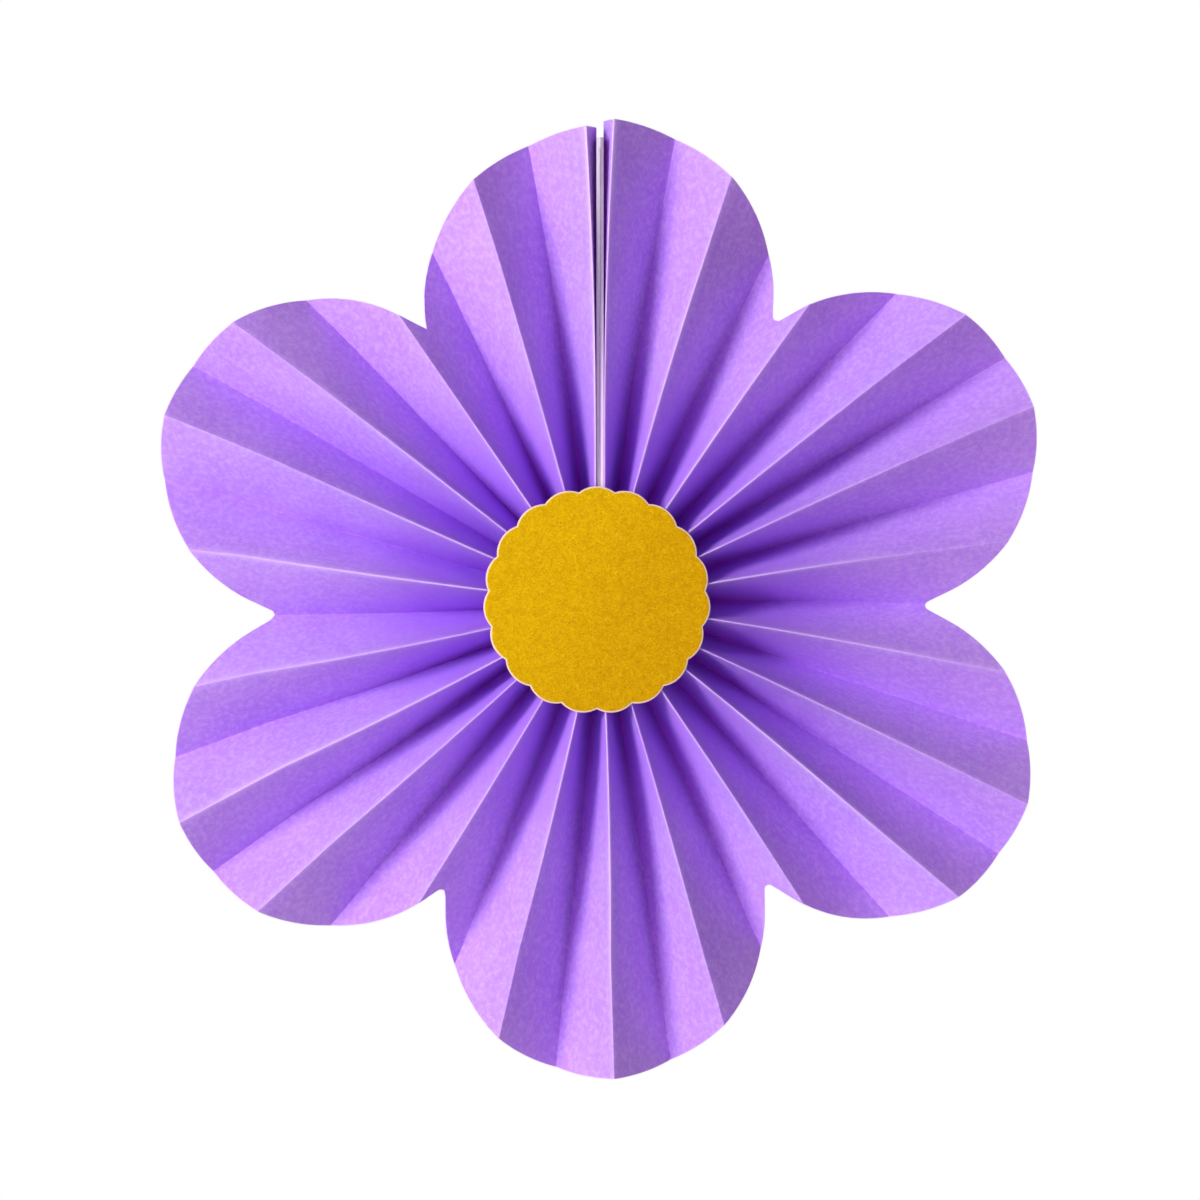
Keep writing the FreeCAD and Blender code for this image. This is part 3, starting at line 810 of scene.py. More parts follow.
@dataclass(frozen=True)
class PleatedPaper:
    """One long strip, folded to and fro and closed into a ring at the seam.

    Folds count clockwise from the seam's right crease, number 0, to its left crease. Even ones
    are mountains in front, odd ones valleys. Sizes are in millimetres and degrees.
    """

    outline: PetalOutline = PetalOutline()
    panels: int = 44
    width: float = 22.0
    thickness: float = 0.25
    crowding: float = 1.05
    hub_radius: float = 3.5
    leaf_width: float = 20.0
    leaf_free_width: float = 8.0
    leaf_plane: float = 1.05
    crease_bulge: float = 0.12
    seam_splay: float = 2.5
    splay_start: float = 40.0
    hole_radius: float = 2.0
    hole_tip_setback: float = 13.0
    hole_crease_setback: float = 12.0
    columns: int = 11
    leaf_columns: int = 12
    rows: int = 46
    # How much closer the rows stand near the hub
    row_crowding: float = 1.1
    crown_steps: int = 5
    # Columns on one side of a rounded notch, in degrees from its middle
    notch_columns: tuple[float, ...] = (0.2, 0.45, 0.7, 1.0, 1.35, 1.9, 2.6)
    # Size of the window in the grid in which the hanging hole stands
    hole_margin: float = 3.0
    window_columns: int = 4
    # How far each mountain fold was set by hand from an even spacing, clockwise, at the disc
    # and on the petals, and the distances from the hub between which the one becomes the other
    hub_wander: tuple[float, ...] = (
        0.0, -0.1, 1.0, 1.0, 0.0, -0.9, -0.3, -0.2, -1.5, -1.7, -1.7,
        -3.0, -3.6, -2.9, -3.2, -4.4, -4.5, -2.7, -2.2, -2.2, -1.8, -0.5, 0.0,
    )  # fmt: skip
    wander: tuple[float, ...] = (
        0.0, 0.5, 1.2, 0.85, 0.0, -0.05, 0.4, -0.2, -0.8, -1.05, -1.1,
        -1.7, -2.2, -1.9, -1.9, -2.2, -2.4, -1.2, -1.05, -1.7, -1.1, 0.0, 0.0,
    )  # fmt: skip
    wander_span: tuple[float, float] = (30.0, 92.0)
    seed: int = 7
    bow: float = 0.35
    # Share of a panel's bow by which it sways on the way out, and how often
    sway: float = 0.25
    sway_rate: float = 9.0
    # How strongly folds are rubbed pale and given a painted highlight, and how far out, least and
    # most. The seam's are marked all over.
    wear_and_highlight: tuple[float, float] = (0.5, 0.95)
    wear_and_highlight_out_to: tuple[float, float] = (0.45, 0.95)
    seam_wear_and_highlight_to: float = 1.3
    # Where the fold marking fades, before and after that distance, and what is left of it further out
    wear_and_highlight_fade: tuple[float, float] = (-0.25, 0.3)
    least_wear_and_highlight: float = 0.15
    back_wear_and_highlight: float = 0.6

    def angle(self, fold: np.ndarray, radius: np.ndarray) -> np.ndarray:
        """Angle of a fold.

        Even steps, less a sine that draws them together on each petal, squeezed to leave room for
        the seam, and shifted as they were by hand.

        Args:
            fold: Numbers of the folds.
            radius: Distances from the hub.

        Returns:
            Radians clockwise from +Z.
        """
        turn = 2 * math.pi * fold / self.panels
        even = turn - math.radians(self.crowding) * np.sin(self.outline.petals * turn)
        outward = np.maximum(radius - self.splay_start, 0) / (self.outline.tip() - self.splay_start)
        crease = self.leaf_plane + self.crease_bulge + self.seam_splay * outward**2
        seam = np.arcsin(crease / radius)
        mountains = np.arange(len(self.wander)) * 2
        at_hub = np.interp(fold, mountains, self.hub_wander)
        at_rim = np.interp(fold, mountains, self.wander)
        start, end = self.wander_span
        share = np.clip((radius - start) / (end - start), 0, 1)
        drift = np.radians(at_hub + (at_rim - at_hub) * share)
        return seam + even * (1 - seam / math.pi) + drift

    def fold_point(self, fold: np.ndarray, radius: np.ndarray) -> np.ndarray:
        """Middle of the paper at a fold.

        Its depth keeps the panels as wide as they are: half of the square root of the width
        squared less the chord squared.

        Args:
            fold: Numbers of the folds, with the end leaves' bends and ends.
            radius: Distances from the hub.

        Returns:
            The points.
        """
        inner = np.clip(fold, 0, self.panels)
        before, after = np.maximum(inner - 1, 0), np.minimum(inner + 1, self.panels)
        pitch = self.angle(after, radius) - self.angle(before, radius)
        chord = 2 * radius * np.sin(pitch / (after - before) / 2)
        depth = np.sqrt(self.width**2 - chord**2) / 2
        sign = np.where(inner % 2 == 0, -1, 1)
        point = polar(self.angle(inner, radius), radius, sign * depth)
        # Fold -1 and fold panels + 1 are the bends of the end leaves, -2 and + 2 their ends.
        beyond = np.where(fold < 0, -fold, np.where(fold > self.panels, fold - self.panels, 0))
        back = np.where(beyond == 1, self.leaf_free_width, self.leaf_width)
        side = np.where(fold < 0, 1.0, -1.0)
        across = side * self.leaf_plane + 0 * radius
        leaf = np.stack([across, point[..., 1] + back, point[..., 2]], -1)
        return np.where((beyond > 0)[..., None], leaf, point)

    def outward(self, fold: np.ndarray, radius: np.ndarray) -> np.ndarray:
        """Unit vector from the hub along a fold, straight up for the end leaves.

        Args:
            fold: Numbers of the folds.
            radius: Distances from the hub.

        Returns:
            The vectors.
        """
        angle = self.angle(np.clip(fold, 0, self.panels), radius)
        angle = np.where((fold < 0) | (fold > self.panels), 0.0, angle)
        return polar(angle, np.ones_like(radius), np.zeros_like(radius))

    def normals(self, fold: np.ndarray, radius: np.ndarray) -> tuple[np.ndarray, np.ndarray]:
        """Normals of the panels on both sides of a fold, towards the back.

        Args:
            fold: Numbers of the folds.
            radius: Distances from the hub.

        Returns:
            The normals of the panels before the folds and of those after them.
        """
        here = self.fold_point(fold, radius)
        out = self.outward(fold, radius)
        last = self.panels + 2
        ahead = self.fold_point(np.minimum(fold + 1, last), radius) - here
        behind = here - self.fold_point(np.maximum(fold - 1, -2), radius)
        ahead = np.where((fold == last)[..., None], behind, ahead)
        behind = np.where((fold == -2)[..., None], ahead, behind)
        after, before = np.cross(out, ahead), np.cross(out, behind)
        unit = [n / np.linalg.norm(n, axis=-1, keepdims=True) for n in (before, after)]
        return unit[0], unit[1]

    def skin_point(
        self,
        fold: np.ndarray,
        share: np.ndarray,
        crown: np.ndarray,
        radius: np.ndarray,
        skin: Skin,
    ) -> np.ndarray:
        """Points of one side of the paper.

        On a panel it is the straight line between its two folds, half a thickness off the
        middle. At a fold the hollow side is the mitre of both panels and the other side an arc
        about the middle of the paper.

        Args:
            fold: Number of the fold at the panel's start.
            share: How far across the panel, 0 to 1.
            crown: Place on the arc at a fold, -1 to 1, or nan on a panel.
            radius: Distance from the hub.
            skin: Which side.

        Returns:
            The points.
        """
        half = self.thickness / 2
        side = skin.value
        ends = []
        for number, leaving in ((fold, True), (fold + 1, False)):
            number = np.minimum(number, self.panels + 2)
            before, after = self.normals(number, radius)
            dot = (before * after).sum(-1, keepdims=True)
            mitre = (before + after) * half / (1 + dot)
            stands_out = self.stands_out(number, skin)[..., None]
            straight = (after if leaving else before) * half
            offset = np.where(stands_out, straight, mitre) * side
            ends.append(self.fold_point(number, radius) + offset)
        start, end = ends
        panel = start + (end - start) * share[..., None]
        before, after = self.normals(fold, radius)
        total = before + after
        length = np.linalg.norm(total, axis=-1, keepdims=True)
        bisector = total / length
        tangent = np.cross(bisector, self.outward(fold, radius))
        opening = np.arccos(np.clip(length[..., 0] / 2, -1, 1))
        sweep = (np.nan_to_num(crown) * opening)[..., None]
        arc = bisector * side * np.cos(sweep) + tangent * np.sin(sweep)
        round_part = self.fold_point(fold, radius) + arc * half
        at_fold = ~np.isnan(crown)
        on_arc = at_fold & self.stands_out(fold, skin)
        return np.where(on_arc[..., None], round_part, np.where(at_fold[..., None], start, panel))

    def stands_out(self, fold: np.ndarray, skin: Skin) -> np.ndarray:
        """Whether a fold is a mountain on that side. The bends of the end leaves aren't."""
        parity = 0 if skin is Skin.FRONT else 1
        return (np.abs(fold) % 2 == parity) & (fold >= 0) & (fold <= self.panels)

    def middle(self, fold: np.ndarray, share: np.ndarray, radius: np.ndarray) -> np.ndarray:
        """Points of the paper's middle: the straight line between a panel's two folds.

        Args:
            fold: Number of the fold at the panel's start.
            share: How far across the panel, 0 to 1.
            radius: Distance from the hub.

        Returns:
            The points.
        """
        start = self.fold_point(fold, radius)
        end = self.fold_point(np.minimum(fold + 1, self.panels + 2), radius)
        return start + (end - start) * share[..., None]

    def strip(self) -> tuple[np.ndarray, np.ndarray, np.ndarray]:
        """The columns of the grid, along the strip.

        Returns:
            For each column the fold at its panel's start, the share of the panel and its place
            on that fold's crown, which is nan on a panel.
        """
        folds, shares = [], []
        inside = np.arange(1, self.columns) / self.columns
        on_leaf = np.arange(self.leaf_columns) / self.leaf_columns
        plain = np.arange(self.panels + 1)
        leaves = np.array([-2, -1, self.panels + 1])
        for panels, across in ((plain[:-1], inside), (leaves, on_leaf)):
            folds.append(np.repeat(panels, len(across)))
            shares.append(np.tile(across, len(panels)))
        folds.append(np.full(len(inside), self.panels))
        shares.append(inside)
        # The rounded notches get columns of their own, close together.
        one_side = np.array(self.notch_columns)
        spread = np.radians(np.concatenate([-one_side[::-1], [0.0], one_side]))
        petals, notch_radius = self.outline.petals, self.outline.notch_radius
        middles = np.radians((np.arange(petals) + 0.5) * 360 / petals)
        notch = (middles[:, None] + spread).ravel()
        notch_reach = np.full(len(plain), notch_radius + 1.5)
        at_folds = self.angle(plain.astype(float), notch_reach)
        along = np.interp(notch, at_folds, plain)
        # Those that all but fall on a fold are left out.
        along = along[np.abs(along - np.round(along)) > 0.02]
        folds.append(np.floor(along).astype(int))
        shares.append(along - np.floor(along))
        folds.append(np.array([self.panels + 1]))
        shares.append(np.array([1.0]))
        fold = np.concatenate(folds)
        share = np.concatenate(shares)
        crown = np.full(len(fold), np.nan)
        steps = np.linspace(-1, 1, self.crown_steps)
        fold = np.concatenate([fold, np.repeat(plain, len(steps))])
        share = np.concatenate([share, np.zeros(len(plain) * len(steps))])
        crown = np.concatenate([crown, np.tile(steps, len(plain))])
        order = np.argsort(fold + share + 1e-4 * np.nan_to_num(crown), kind="stable")
        return fold[order], share[order], crown[order]

    def rim(self, fold: np.ndarray, share: np.ndarray, rounds: int = 8) -> np.ndarray:
        """Where each column meets the cut edge, found by scaling it a few times.

        Args:
            fold: Each column's fold.
            share: Each column's place across its panel.
            rounds: How many times it is scaled.

        Returns:
            Distances from the hub, measured along the columns.
        """
        radius = np.full(len(fold), 100.0)  # any start near the edge will do
        for _ in range(rounds):
            point = self.middle(fold, share, radius)
            reach = np.hypot(point[:, 0], point[:, 2])
            radius = radius * self.outline.radius(np.arctan2(point[:, 0], point[:, 2])) / reach
        return radius

    def punched(
        self, numbers: np.ndarray, points: np.ndarray, window: tuple[int, int, int, int], start: int
    ) -> tuple[np.ndarray, np.ndarray]:
        """A ring of quads between a window in the grid and the hanging hole.

        Each point of the window's border is drawn straight towards the hole's middle, until it
        lies on the hole's circle.

        Args:
            numbers: Vertex numbers of one side's grid.
            points: Vertices of the sheet so far.
            window: First and last row and first and last column.
            start: Number that the first new vertex gets.

        Returns:
            The new vertices and the quads, which run the front's way round.
        """
        bottom, top, left, right = window
        loop = np.concatenate(
            [
                numbers[bottom, left:right],
                numbers[bottom:top, right],
                numbers[top, right:left:-1],
                numbers[top:bottom:-1, left],
            ]
        )
        border = points[loop]
        centre = self.hole_centre()
        away = border[:, 1:] - centre
        away = away / np.linalg.norm(away, axis=1, keepdims=True) * self.hole_radius
        ring = np.column_stack([border[:, 0], centre + away])
        new = start + np.arange(len(loop))
        quads = np.stack([loop, np.roll(loop, -1), np.roll(new, -1), new], -1)
        return ring, quads

    def hole_centre(self) -> np.ndarray:
        """Depth and height of the hanging hole's middle.

        Returns:
            Both, in millimetres.
        """
        height = self.outline.tip() - self.hole_tip_setback
        chord = 2 * height * math.sin(math.pi / self.panels)
        crease = math.sqrt(self.width**2 - chord**2) / 2
        return np.array([self.hole_crease_setback - crease, height])

    def build(self) -> bpy.types.Object:
        """Makes the folded sheet, cut to its outline, with the hanging hole.

        A panel bows by a parabola across it, which grows with the square of the distance.

        Returns:
            The piece.
        """
        fold, share, crown = self.strip()
        rim = self.rim(fold, share)
        rows = np.linspace(0, 1, self.rows + 1) ** self.row_crowding
        radius = self.hub_radius + rows[:, None] * (rim - self.hub_radius)
        shape = radius.shape
        folds, shares, crowns = (np.broadcast_to(a, shape) for a in (fold, share, crown))
        grids, marks = [], {"fold": [], "fold_wear_and_highlight": [], "rim": []}
        rng = np.random.default_rng(self.seed)
        bows = rng.uniform(-1, 1, self.panels + 5) * self.bow
        waves = rng.uniform(0, 2 * math.pi, self.panels + 5)
        after = self.normals(folds, radius)[1]
        on_panel = (folds >= 0) & (folds < self.panels)
        outward = radius / self.outline.tip()
        belly = 4 * shares * (1 - shares) * outward**2 * on_panel
        swing = np.sin(waves[folds + 2] + self.sway_rate * outward)
        bend = bows[folds + 2] + self.sway * self.bow * swing
        for skin in Skin:
            points = self.skin_point(folds, shares, crowns, radius, skin)
            grids.append(points + after * (belly * bend)[..., None])
            for label, values in self.marks(folds, shares, crowns, radius, rim, skin, rng).items():
                marks[label].append(values.ravel())
        points = np.concatenate([grid.reshape(-1, 3) for grid in grids])
        front = np.arange(fold.size * len(rows)).reshape(shape)
        both_sides = {label: np.concatenate(values) for label, values in marks.items()}
        return self.close(points, front, front + front.size, fold, crown, both_sides)

    def marks(
        self,
        folds: np.ndarray,
        shares: np.ndarray,
        crowns: np.ndarray,
        radius: np.ndarray,
        rim: np.ndarray,
        skin: Skin,
        rng: np.random.Generator,
    ) -> dict[str, np.ndarray]:
        """What the finish reads on one side.

        Args:
            folds: The fold at each point's panel.
            shares: Each point's place across its panel.
            crowns: Each point's place on a fold.
            radius: Distances from the hub.
            rim: Where each column meets the cut edge.
            skin: Which side.
            rng: Source of the uneven strength of the fold marks.

        Returns:
            Distance to the fold that stands out, how strongly that fold is rubbed pale and
            given a painted highlight, and distance to the cut edge.
        """
        at_start = self.stands_out(folds, skin)
        across = np.where(folds == -1, self.leaf_free_width, self.width)
        distance = np.where(at_start, shares, 1 - shares) * across
        distance = np.where(~np.isnan(crowns), np.where(at_start, 0.0, self.width), distance)
        first, last = folds == -2, folds == self.panels + 1
        distance = np.where(first | last, self.width, distance)
        nearest = np.where(at_start, folds, folds + 1) + 2
        # How strongly each fold is rubbed pale and given a painted highlight, and how far out.
        level = rng.uniform(*self.wear_and_highlight, self.panels + 6)
        reach = rng.uniform(*self.wear_and_highlight_out_to, self.panels + 6)
        seam = [2, self.panels + 2]
        level[seam] = 1.0
        reach[seam] = self.seam_wear_and_highlight_to
        fade = 1 - smooth_step(*self.wear_and_highlight_fade, radius / rim - reach[nearest])
        fold_wear_and_highlight = level[nearest] * (self.least_wear_and_highlight + (1 - self.least_wear_and_highlight) * fade)
        fold_wear_and_highlight = fold_wear_and_highlight * (1 if skin is Skin.FRONT else self.back_wear_and_highlight)
        edge = np.broadcast_to(rim, radius.shape) - radius
        leaf = self.leaf_width - self.leaf_free_width
        edge = np.where(first, np.minimum(edge, shares * leaf), edge)
        edge = np.where(last, np.minimum(edge, (1 - shares) * leaf), edge)
        return {"fold": distance, "fold_wear_and_highlight": fold_wear_and_highlight, "rim": edge}

    def close(
        self,
        points: np.ndarray,
        front: np.ndarray,
        back: np.ndarray,
        fold: np.ndarray,
        crown: np.ndarray,
        marks: dict[str, np.ndarray],
    ) -> bpy.types.Object:
        """Joins the two sides along every edge and around the hanging hole.

        Args:
            points: Vertices of both sides.
            front: Vertex numbers of the front's grid.
            back: Vertex numbers of the back's grid.
            fold: The fold at each column's panel.
            crown: Each column's place on a fold.
            marks: What the finish reads at each vertex.

        Returns:
            The piece.
        """
        centre = self.hole_centre()
        height = points[front[:, 0]][:, 2]
        rows = np.flatnonzero(np.abs(height - centre[1]) < self.hole_radius + self.hole_margin)
        windows = []
        for panel in (-2, self.panels + 1):
            columns = np.flatnonzero(fold == panel)
            depth = points[front[rows[0], columns]][:, 1]
            nearest = columns[np.argmin(np.abs(depth - centre[0]))]
            left, right = nearest - self.window_columns, nearest + self.window_columns
            windows.append((rows[0], rows[-1], left, right))
        quads, rings, flat = [], [], []
        on_crown = ~np.isnan(crown)
        arc = on_crown[:-1] & on_crown[1:]
        start = len(points)
        for numbers, turned in ((front, True), (back, False)):
            kept = np.ones((numbers.shape[0] - 1, numbers.shape[1] - 1), bool)
            for bottom, top, left, right in windows:
                kept[bottom:top, left:right] = False
            quads.append(grid_faces(numbers, turned)[kept.ravel()])
            flat.append(np.broadcast_to(arc, kept.shape)[kept])
            for window in windows:
                ring, faces = self.punched(numbers, points, window, start)
                rings.append(ring)
                quads.append(faces if turned else faces[:, ::-1])
                flat.append(np.zeros(len(faces), bool))
                start += len(ring)
        count = len(rings[0])
        first = len(points) + np.array([0, 1, 2, 3]) * count
        for near, far in ((first[0], first[2]), (first[1], first[3])):
            near, far = near + np.arange(count), far + np.arange(count)
            quads.append(np.stack([near, np.roll(near, -1), np.roll(far, -1), far], -1))
        edges = (
            (np.stack([front[-1], back[-1]]), True),
            (np.stack([front[0], back[0]]), False),
            (np.stack([front[:, 0], back[:, 0]]), True),
            (np.stack([front[:, -1], back[:, -1]]), False),
        )
        quads.extend(grid_faces(numbers, turned) for numbers, turned in edges)
        faces = np.concatenate(quads)
        flat = np.concatenate([*flat, np.ones(len(faces) - sum(map(len, flat)), bool)])
        ring_marks = {"fold": self.width, "fold_wear_and_highlight": 0.0, "rim": 0.0}
        every = {
            label: np.concatenate([values, np.full(4 * count, ring_marks[label])])
            for label, values in marks.items()
        }
        return make_piece("folded_sheet", np.concatenate([points, *rings]), faces, every, flat)


# The small pieces


@dataclass(frozen=True)
class CentreDisc:
    """The scalloped disc of glitter card, in millimetres."""

    crest_radius: float = 29.35
    scallops: int = 19
    scallop_radius: float = 7.5
    thickness: float = 0.4
    front: float = -11.725
    pressed_edge: float = 0.7
    pressed_depth: float = 0.1
    grain: float = 0.05
    seed: int = 19
    steps_round: int = 570
    steps_out: int = 66
    # How much closer the rings stand towards the edge
    ring_crowding: float = 0.8
    # Where the flakes begin: distances from the middle, and parts of the pressed edge's width
    smooth_middle: tuple[float, float] = (2.0, 9.0)
    smooth_edge: tuple[float, float] = (0.8, 1.3)
    # How far along X from the hub it was glued
    aside: float = -0.8
    # How far the pressed front ends inside the edge
    lip: float = 0.1
    # Insets of the rounded edge's rings, and their depths from the pressed front or the back
    front_shoulder: tuple[tuple[float, float], ...] = ((0.03, 0.04), (0.0, 0.12))
    back_shoulder: tuple[tuple[float, float], ...] = ((0.0, -0.05), (0.05, 0.0))

    def edge(self, angle: np.ndarray) -> np.ndarray:
        """Far side of each scallop's circle, as seen from the hub.

        Args:
            angle: Radians clockwise from +Z.

        Returns:
            Distances from the middle.
        """
        spacing = 2 * math.pi / self.scallops
        off = angle - np.round(angle / spacing) * spacing
        middle = self.crest_radius - self.scallop_radius
        return middle * np.cos(off) + np.sqrt(self.scallop_radius**2 - (middle * np.sin(off)) ** 2)

    def build(self) -> bpy.types.Object:
        """Makes the disc: rings of points from the front's middle over the edge to the back's.

        The front is rough with flakes of uneven height, and dips over its last part, where the
        die pressed it.

        Returns:
            The piece.
        """
        angle = np.arange(self.steps_round) * 2 * math.pi / self.steps_round
        edge = self.edge(angle)
        share = np.linspace(0, 1, self.steps_out)[:, None] ** self.ring_crowding
        radius = share * (edge - self.lip)
        inset = edge - radius
        dip = self.pressed_depth * (1 - smooth_step(0.0, self.pressed_edge, inset))
        rng = np.random.default_rng(self.seed)
        flakes = rng.uniform(0, self.grain, radius.shape)
        flakes *= smooth_step(*(self.pressed_edge * part for part in self.smooth_edge), inset)
        # Near the middle the points stand too close together for flakes of their own.
        flakes *= smooth_step(*self.smooth_middle, radius)
        depth = self.front + dip + flakes
        depth[0] = self.front
        pressed, back = self.front + self.pressed_depth, self.front + self.thickness
        shoulder = [(gap, pressed + deep) for gap, deep in self.front_shoulder]
        shoulder += [(gap, back + deep) for gap, deep in self.back_shoulder]
        # The back: a ring halfway in, and its middle.
        inner = [edge * 0.5, edge * 0.0]
        radii = np.vstack([radius, *(edge - gap for gap, _ in shoulder), *inner])
        levels = [*(deep for _, deep in shoulder), back, back]
        depths = np.vstack([depth, *(np.full_like(edge, level) for level in levels)])
        points = polar(np.broadcast_to(angle, radii.shape), radii, depths)
        points[..., 0] += self.aside
        numbers = np.arange(radii.size).reshape(radii.shape)
        numbers = np.hstack([numbers, numbers[:, :1]])
        # The marks on the back: any distance well away from the edge will do.
        far_in = np.full((len(inner), self.steps_round), 9.0)
        rim = np.vstack([inset, np.zeros((len(shoulder), self.steps_round)), far_in])
        face = np.zeros_like(radii)
        # The glitter ends one ring beyond the front's own.
        face[: self.steps_out + 1] = 1.0
        marks = {"rim": rim.ravel(), "face": face.ravel()}
        faces = grid_faces(numbers, True)
        return make_piece("glitter_disc", points.reshape(-1, 3), faces, marks, sharp_angle=75)


@dataclass(frozen=True)
class BindingThread:
    """Three strands twisted around each other along a ring, in millimetres."""

    ring_radius: float = 7.0
    strands: int = 3
    strand_radius: float = 0.14
    twist_radius: float = 0.13
    twists: int = 46
    steps_along: int = 552
    steps_around: int = 8

    def build(self) -> bpy.types.Object:
        """Makes the thread: each strand is a tube about a helix that runs around the ring.

        Returns:
            The piece.
        """
        along = np.arange(self.steps_along) * 2 * math.pi / self.steps_along
        around = np.arange(self.steps_around) * 2 * math.pi / self.steps_around
        points, quads, heights = [], [], []
        for strand in range(self.strands):
            phase = (self.twists * along + strand * 2 * math.pi / self.strands)[:, None]
            across = self.twist_radius * np.cos(phase) + self.strand_radius * np.cos(around)
            deep = self.twist_radius * np.sin(phase) + self.strand_radius * np.sin(around)
            turn = np.broadcast_to(along[:, None], across.shape)
            tube = polar(turn, self.ring_radius + across, deep)
            numbers = strand * across.size + np.arange(across.size).reshape(across.shape)
            numbers = np.vstack([numbers, numbers[:1]])
            numbers = np.hstack([numbers, numbers[:, :1]])
            points.append(tube.reshape(-1, 3))
            quads.append(grid_faces(numbers))
            height = np.hypot(across, deep) / (self.twist_radius + self.strand_radius)
            heights.append(height.ravel())
        marks = {"strand": np.concatenate(heights)}
        points, quads = np.concatenate(points), np.concatenate(quads)
        return make_piece("binding_thread", points, quads, marks, sharp_angle=80)


# The flower


@dataclass
class Flower:
    """All pieces of the flower, the new ones and those that the frame brings."""

    nodes: dict[str, bpy.types.Object]
    paper: PleatedPaper = PleatedPaper()
    disc: CentreDisc = CentreDisc()
    thread: BindingThread = BindingThread()

    def build(self) -> None:
        """Makes and dresses every piece."""
        self.fit(self.paper.build(), "pleated_paper", LILAC_PAPER)
        self.fit(self.disc.build(), "centre_disc", GOLD_GLITTER)
        self.fit(self.thread.build(), "hub_thread", COTTON_THREAD)
        # The two boards are lit and shaded copies of one finish: painted light and painted shade.
        self.dress("end_board_left", LIT_LEFT_BOARD.make("painted_lit_board"))
        self.dress("end_board_right", SHADED_RIGHT_BOARD.make("painted_shade_board"))
        self.dress("seam_tape", SEAM_TAPE.make())
        self.dress("disc_glue_dot", SET_GLUE.make())

    def fit(
        self, piece: bpy.types.Object, node: str, finish: FoldedPaper | GlitterCard | TwistedThread
    ) -> None:
        """Puts a new piece in the place of a node of the frame.

        Args:
            piece: The new piece.
            node: Name of the node.
            finish: What its surface is like.
        """
        piece.data.materials.append(finish.make())
        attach(piece, BODY)
        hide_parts(node)
        LOG.info("%s: %d faces, stands for %s", piece.name, len(piece.data.polygons), node)

    def dress(self, node: str, material: bpy.types.Material) -> None:
        """Gives a node of the frame its finish.

        Args:
            node: Name of the node.
            material: The finish.
        """
        piece = self.nodes[node]
        piece.data.materials.clear()
        piece.data.materials.append(material)
        LOG.info("%s: kept, finish %s", node, material.name)


# The studio


@dataclass(frozen=True)
class Lamp:
    """A soft square lamp that looks at the flower."""

    name: str
    towards: tuple[float, float, float]
    distance: float
    size: float
    watts: float

    def build(self) -> None:
        """Makes the lamp."""
        light = bpy.data.lights.new(self.name, "AREA")
        light.shape = "SQUARE"
        light.size = self.size
        light.energy = self.watts
        lamp = bpy.data.objects.new(self.name, light)
        direction = Vector(self.towards).normalized()
        lamp.location = direction * self.distance
        lamp.rotation_euler = (-direction).to_track_quat("-Z", "Y").to_euler()
        bpy.context.scene.collection.objects.link(lamp)


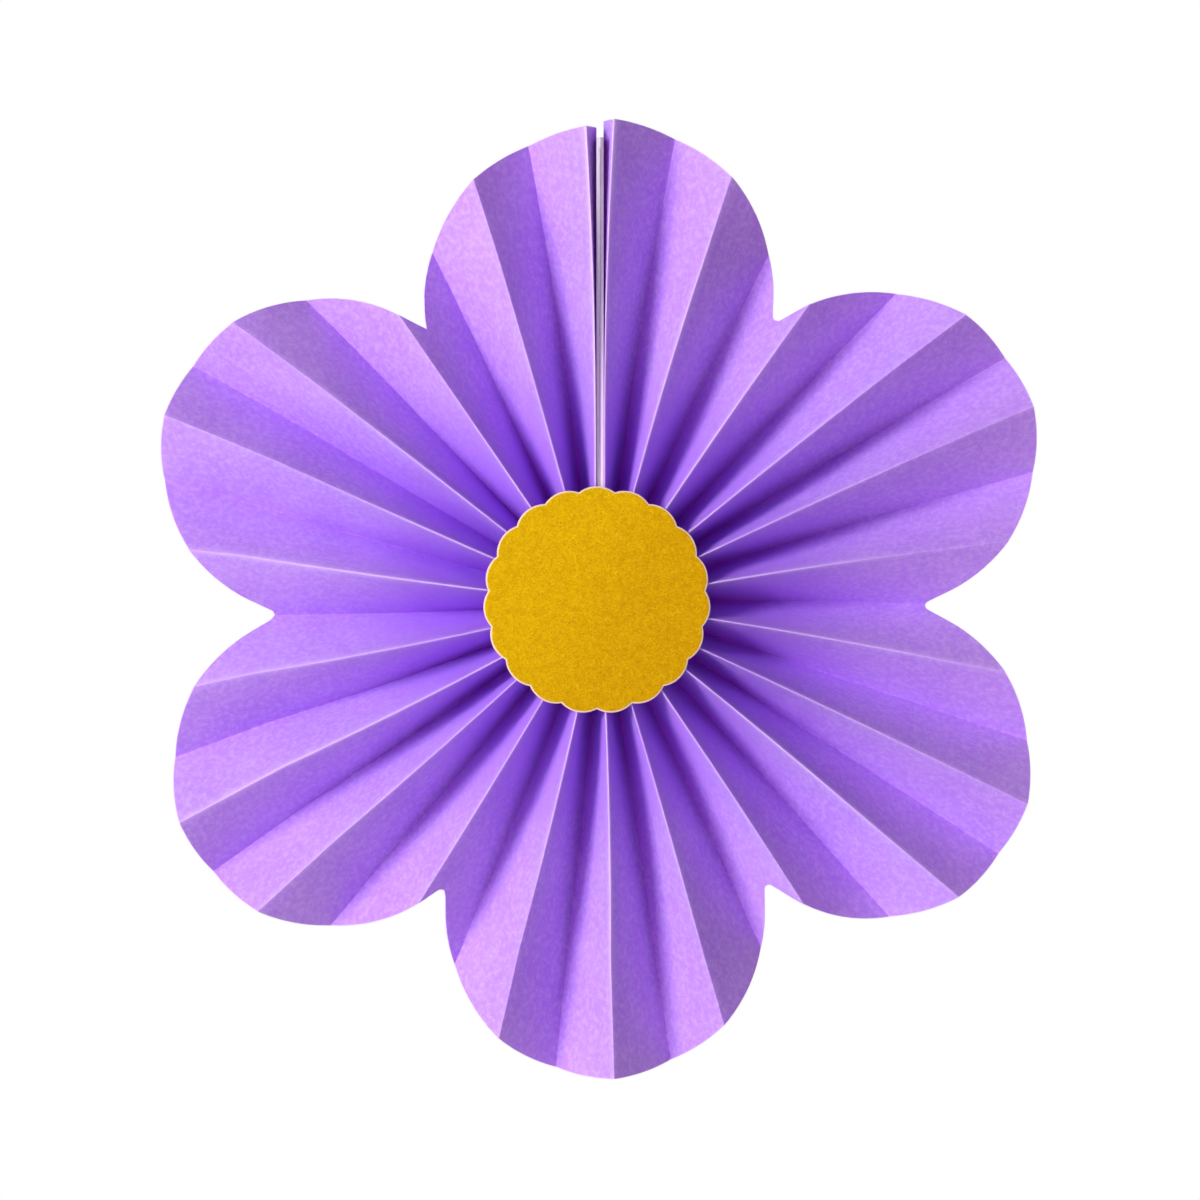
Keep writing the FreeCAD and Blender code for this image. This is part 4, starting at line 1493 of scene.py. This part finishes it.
@dataclass(frozen=True)
class Studio:
    """A pale floor, a white surround, the lamps and the camera, in metres and degrees."""

    floor_height: float = -0.25
    floor_half: float = 6.0
    floor_colour: Colour = (0.86, 0.86, 0.87)
    floor_cloud: Colour = (0.8, 0.8, 0.82)
    # Distances from the flower between which the floor turns plain white
    shadow_reach: tuple[float, float] = (0.25, 0.45)
    surround: float = 0.2
    view_width: float = 0.312
    distance: float = 1.45
    view_side: float = 0.0
    view_rise: float = 0.0
    lamps: tuple[Lamp, ...] = (
        Lamp("key_lamp", (-0.68, -0.69, 0.22), 1.6, 0.55, 22.3),
        Lamp("back_lamp", (0.5, 0.75, 0.45), 1.8, 0.9, 12.0),
    )

    def build(self) -> None:
        """Makes the surroundings and the camera."""
        self.make_surround()
        self.make_floor()
        for lamp in self.lamps:
            lamp.build()
        self.make_camera()

    def seen_plainly(self, shader: ShaderTree) -> bpy.types.NodeSocket:
        """Where the background is seen: by the camera, and in glossy and clear surfaces.

        Args:
            shader: The tree that asks.

        Returns:
            1 for such a ray and 0 for any other.
        """
        path = shader.add("ShaderNodeLightPath")
        seen = path.outputs["Is Camera Ray"]
        for ray in ("Is Glossy Ray", "Is Transmission Ray"):
            seen = shader.math("MAXIMUM", seen, path.outputs[ray])
        return seen

    def make_surround(self) -> None:
        """The world: even light, and plain white where a ray sees it."""
        world = bpy.data.worlds.new("white_surround")
        bpy.context.scene.world = world
        world.use_nodes = True
        world.node_tree.nodes.clear()
        shader = ShaderTree(world.node_tree)
        seen = self.seen_plainly(shader)
        light = shader.add("ShaderNodeBackground", {"Color": (1, 1, 1, 1), "Strength": self.surround})
        white = shader.add("ShaderNodeBackground", {"Color": (1, 1, 1, 1), "Strength": 1.0})
        both = shader.add("ShaderNodeMixShader", {0: seen, 1: light.outputs[0], 2: white.outputs[0]})
        shader.add("ShaderNodeOutputWorld", {"Surface": both.outputs[0]})

    def make_floor(self) -> None:
        """The floor, which turns to plain white for the camera away from the flower."""
        side = np.linspace(-self.floor_half, self.floor_half, 3) / MM
        across, along = np.meshgrid(side, side)
        points = np.stack([across, along, np.full_like(across, self.floor_height / MM)], -1)
        floor = make_piece("floor", points.reshape(-1, 3), grid_faces(np.arange(9).reshape(3, 3), True))
        material = bpy.data.materials.new("pale_floor")
        material.use_nodes = True
        material.node_tree.nodes.clear()
        shader = ShaderTree(material.node_tree)
        place = shader.place()
        cloud = shader.noise(place, 0.004)
        shade = shader.mix(shader.math("MULTIPLY", cloud, 0.2), self.floor_colour, self.floor_cloud)
        matte = shader.add("ShaderNodeBsdfPrincipled", {"Base Color": shade, "Roughness": 0.7})
        white = shader.add("ShaderNodeEmission", {"Color": (1, 1, 1, 1), "Strength": 1.0})
        away = shader.add("ShaderNodeVectorMath", {0: place}, operation="LENGTH").outputs["Value"]
        near, end = self.shadow_reach
        far = shader.ramp(away, (near / MM, end / MM), (0.0, 1.0))
        seen = shader.math("MULTIPLY", self.seen_plainly(shader), far)
        both = shader.add("ShaderNodeMixShader", {0: seen, 1: matte.outputs[0], 2: white.outputs[0]})
        shader.add("ShaderNodeOutputMaterial", {"Surface": both.outputs[0]})
        floor.data.materials.append(material)

    def make_camera(self) -> None:
        """A long lens, straight in front of the flower."""
        data = bpy.data.cameras.new("camera")
        data.sensor_width = 36.0
        data.lens = data.sensor_width * self.distance / self.view_width
        data.clip_start, data.clip_end = 0.01, 50.0
        camera = bpy.data.objects.new("camera", data)
        side, rise = math.radians(self.view_side), math.radians(self.view_rise)
        level = math.cos(rise)
        away = Vector((math.sin(side) * level, -math.cos(side) * level, math.sin(rise)))
        camera.location = away * self.distance
        camera.rotation_euler = (-away).to_track_quat("-Z", "Y").to_euler()
        bpy.context.scene.collection.objects.link(camera)
        bpy.context.scene.camera = camera


def main() -> None:
    """Loads the frame, builds the flower and the studio."""
    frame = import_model()
    make_effects()
    Flower(frame["nodes"]).build()
    scene = bpy.context.scene
    scene.view_settings.view_transform = "Standard"
    Studio().build()


if __name__ == "__main__":
    logging.basicConfig(level=logging.INFO, format="%(name)s: %(message)s")
    main()
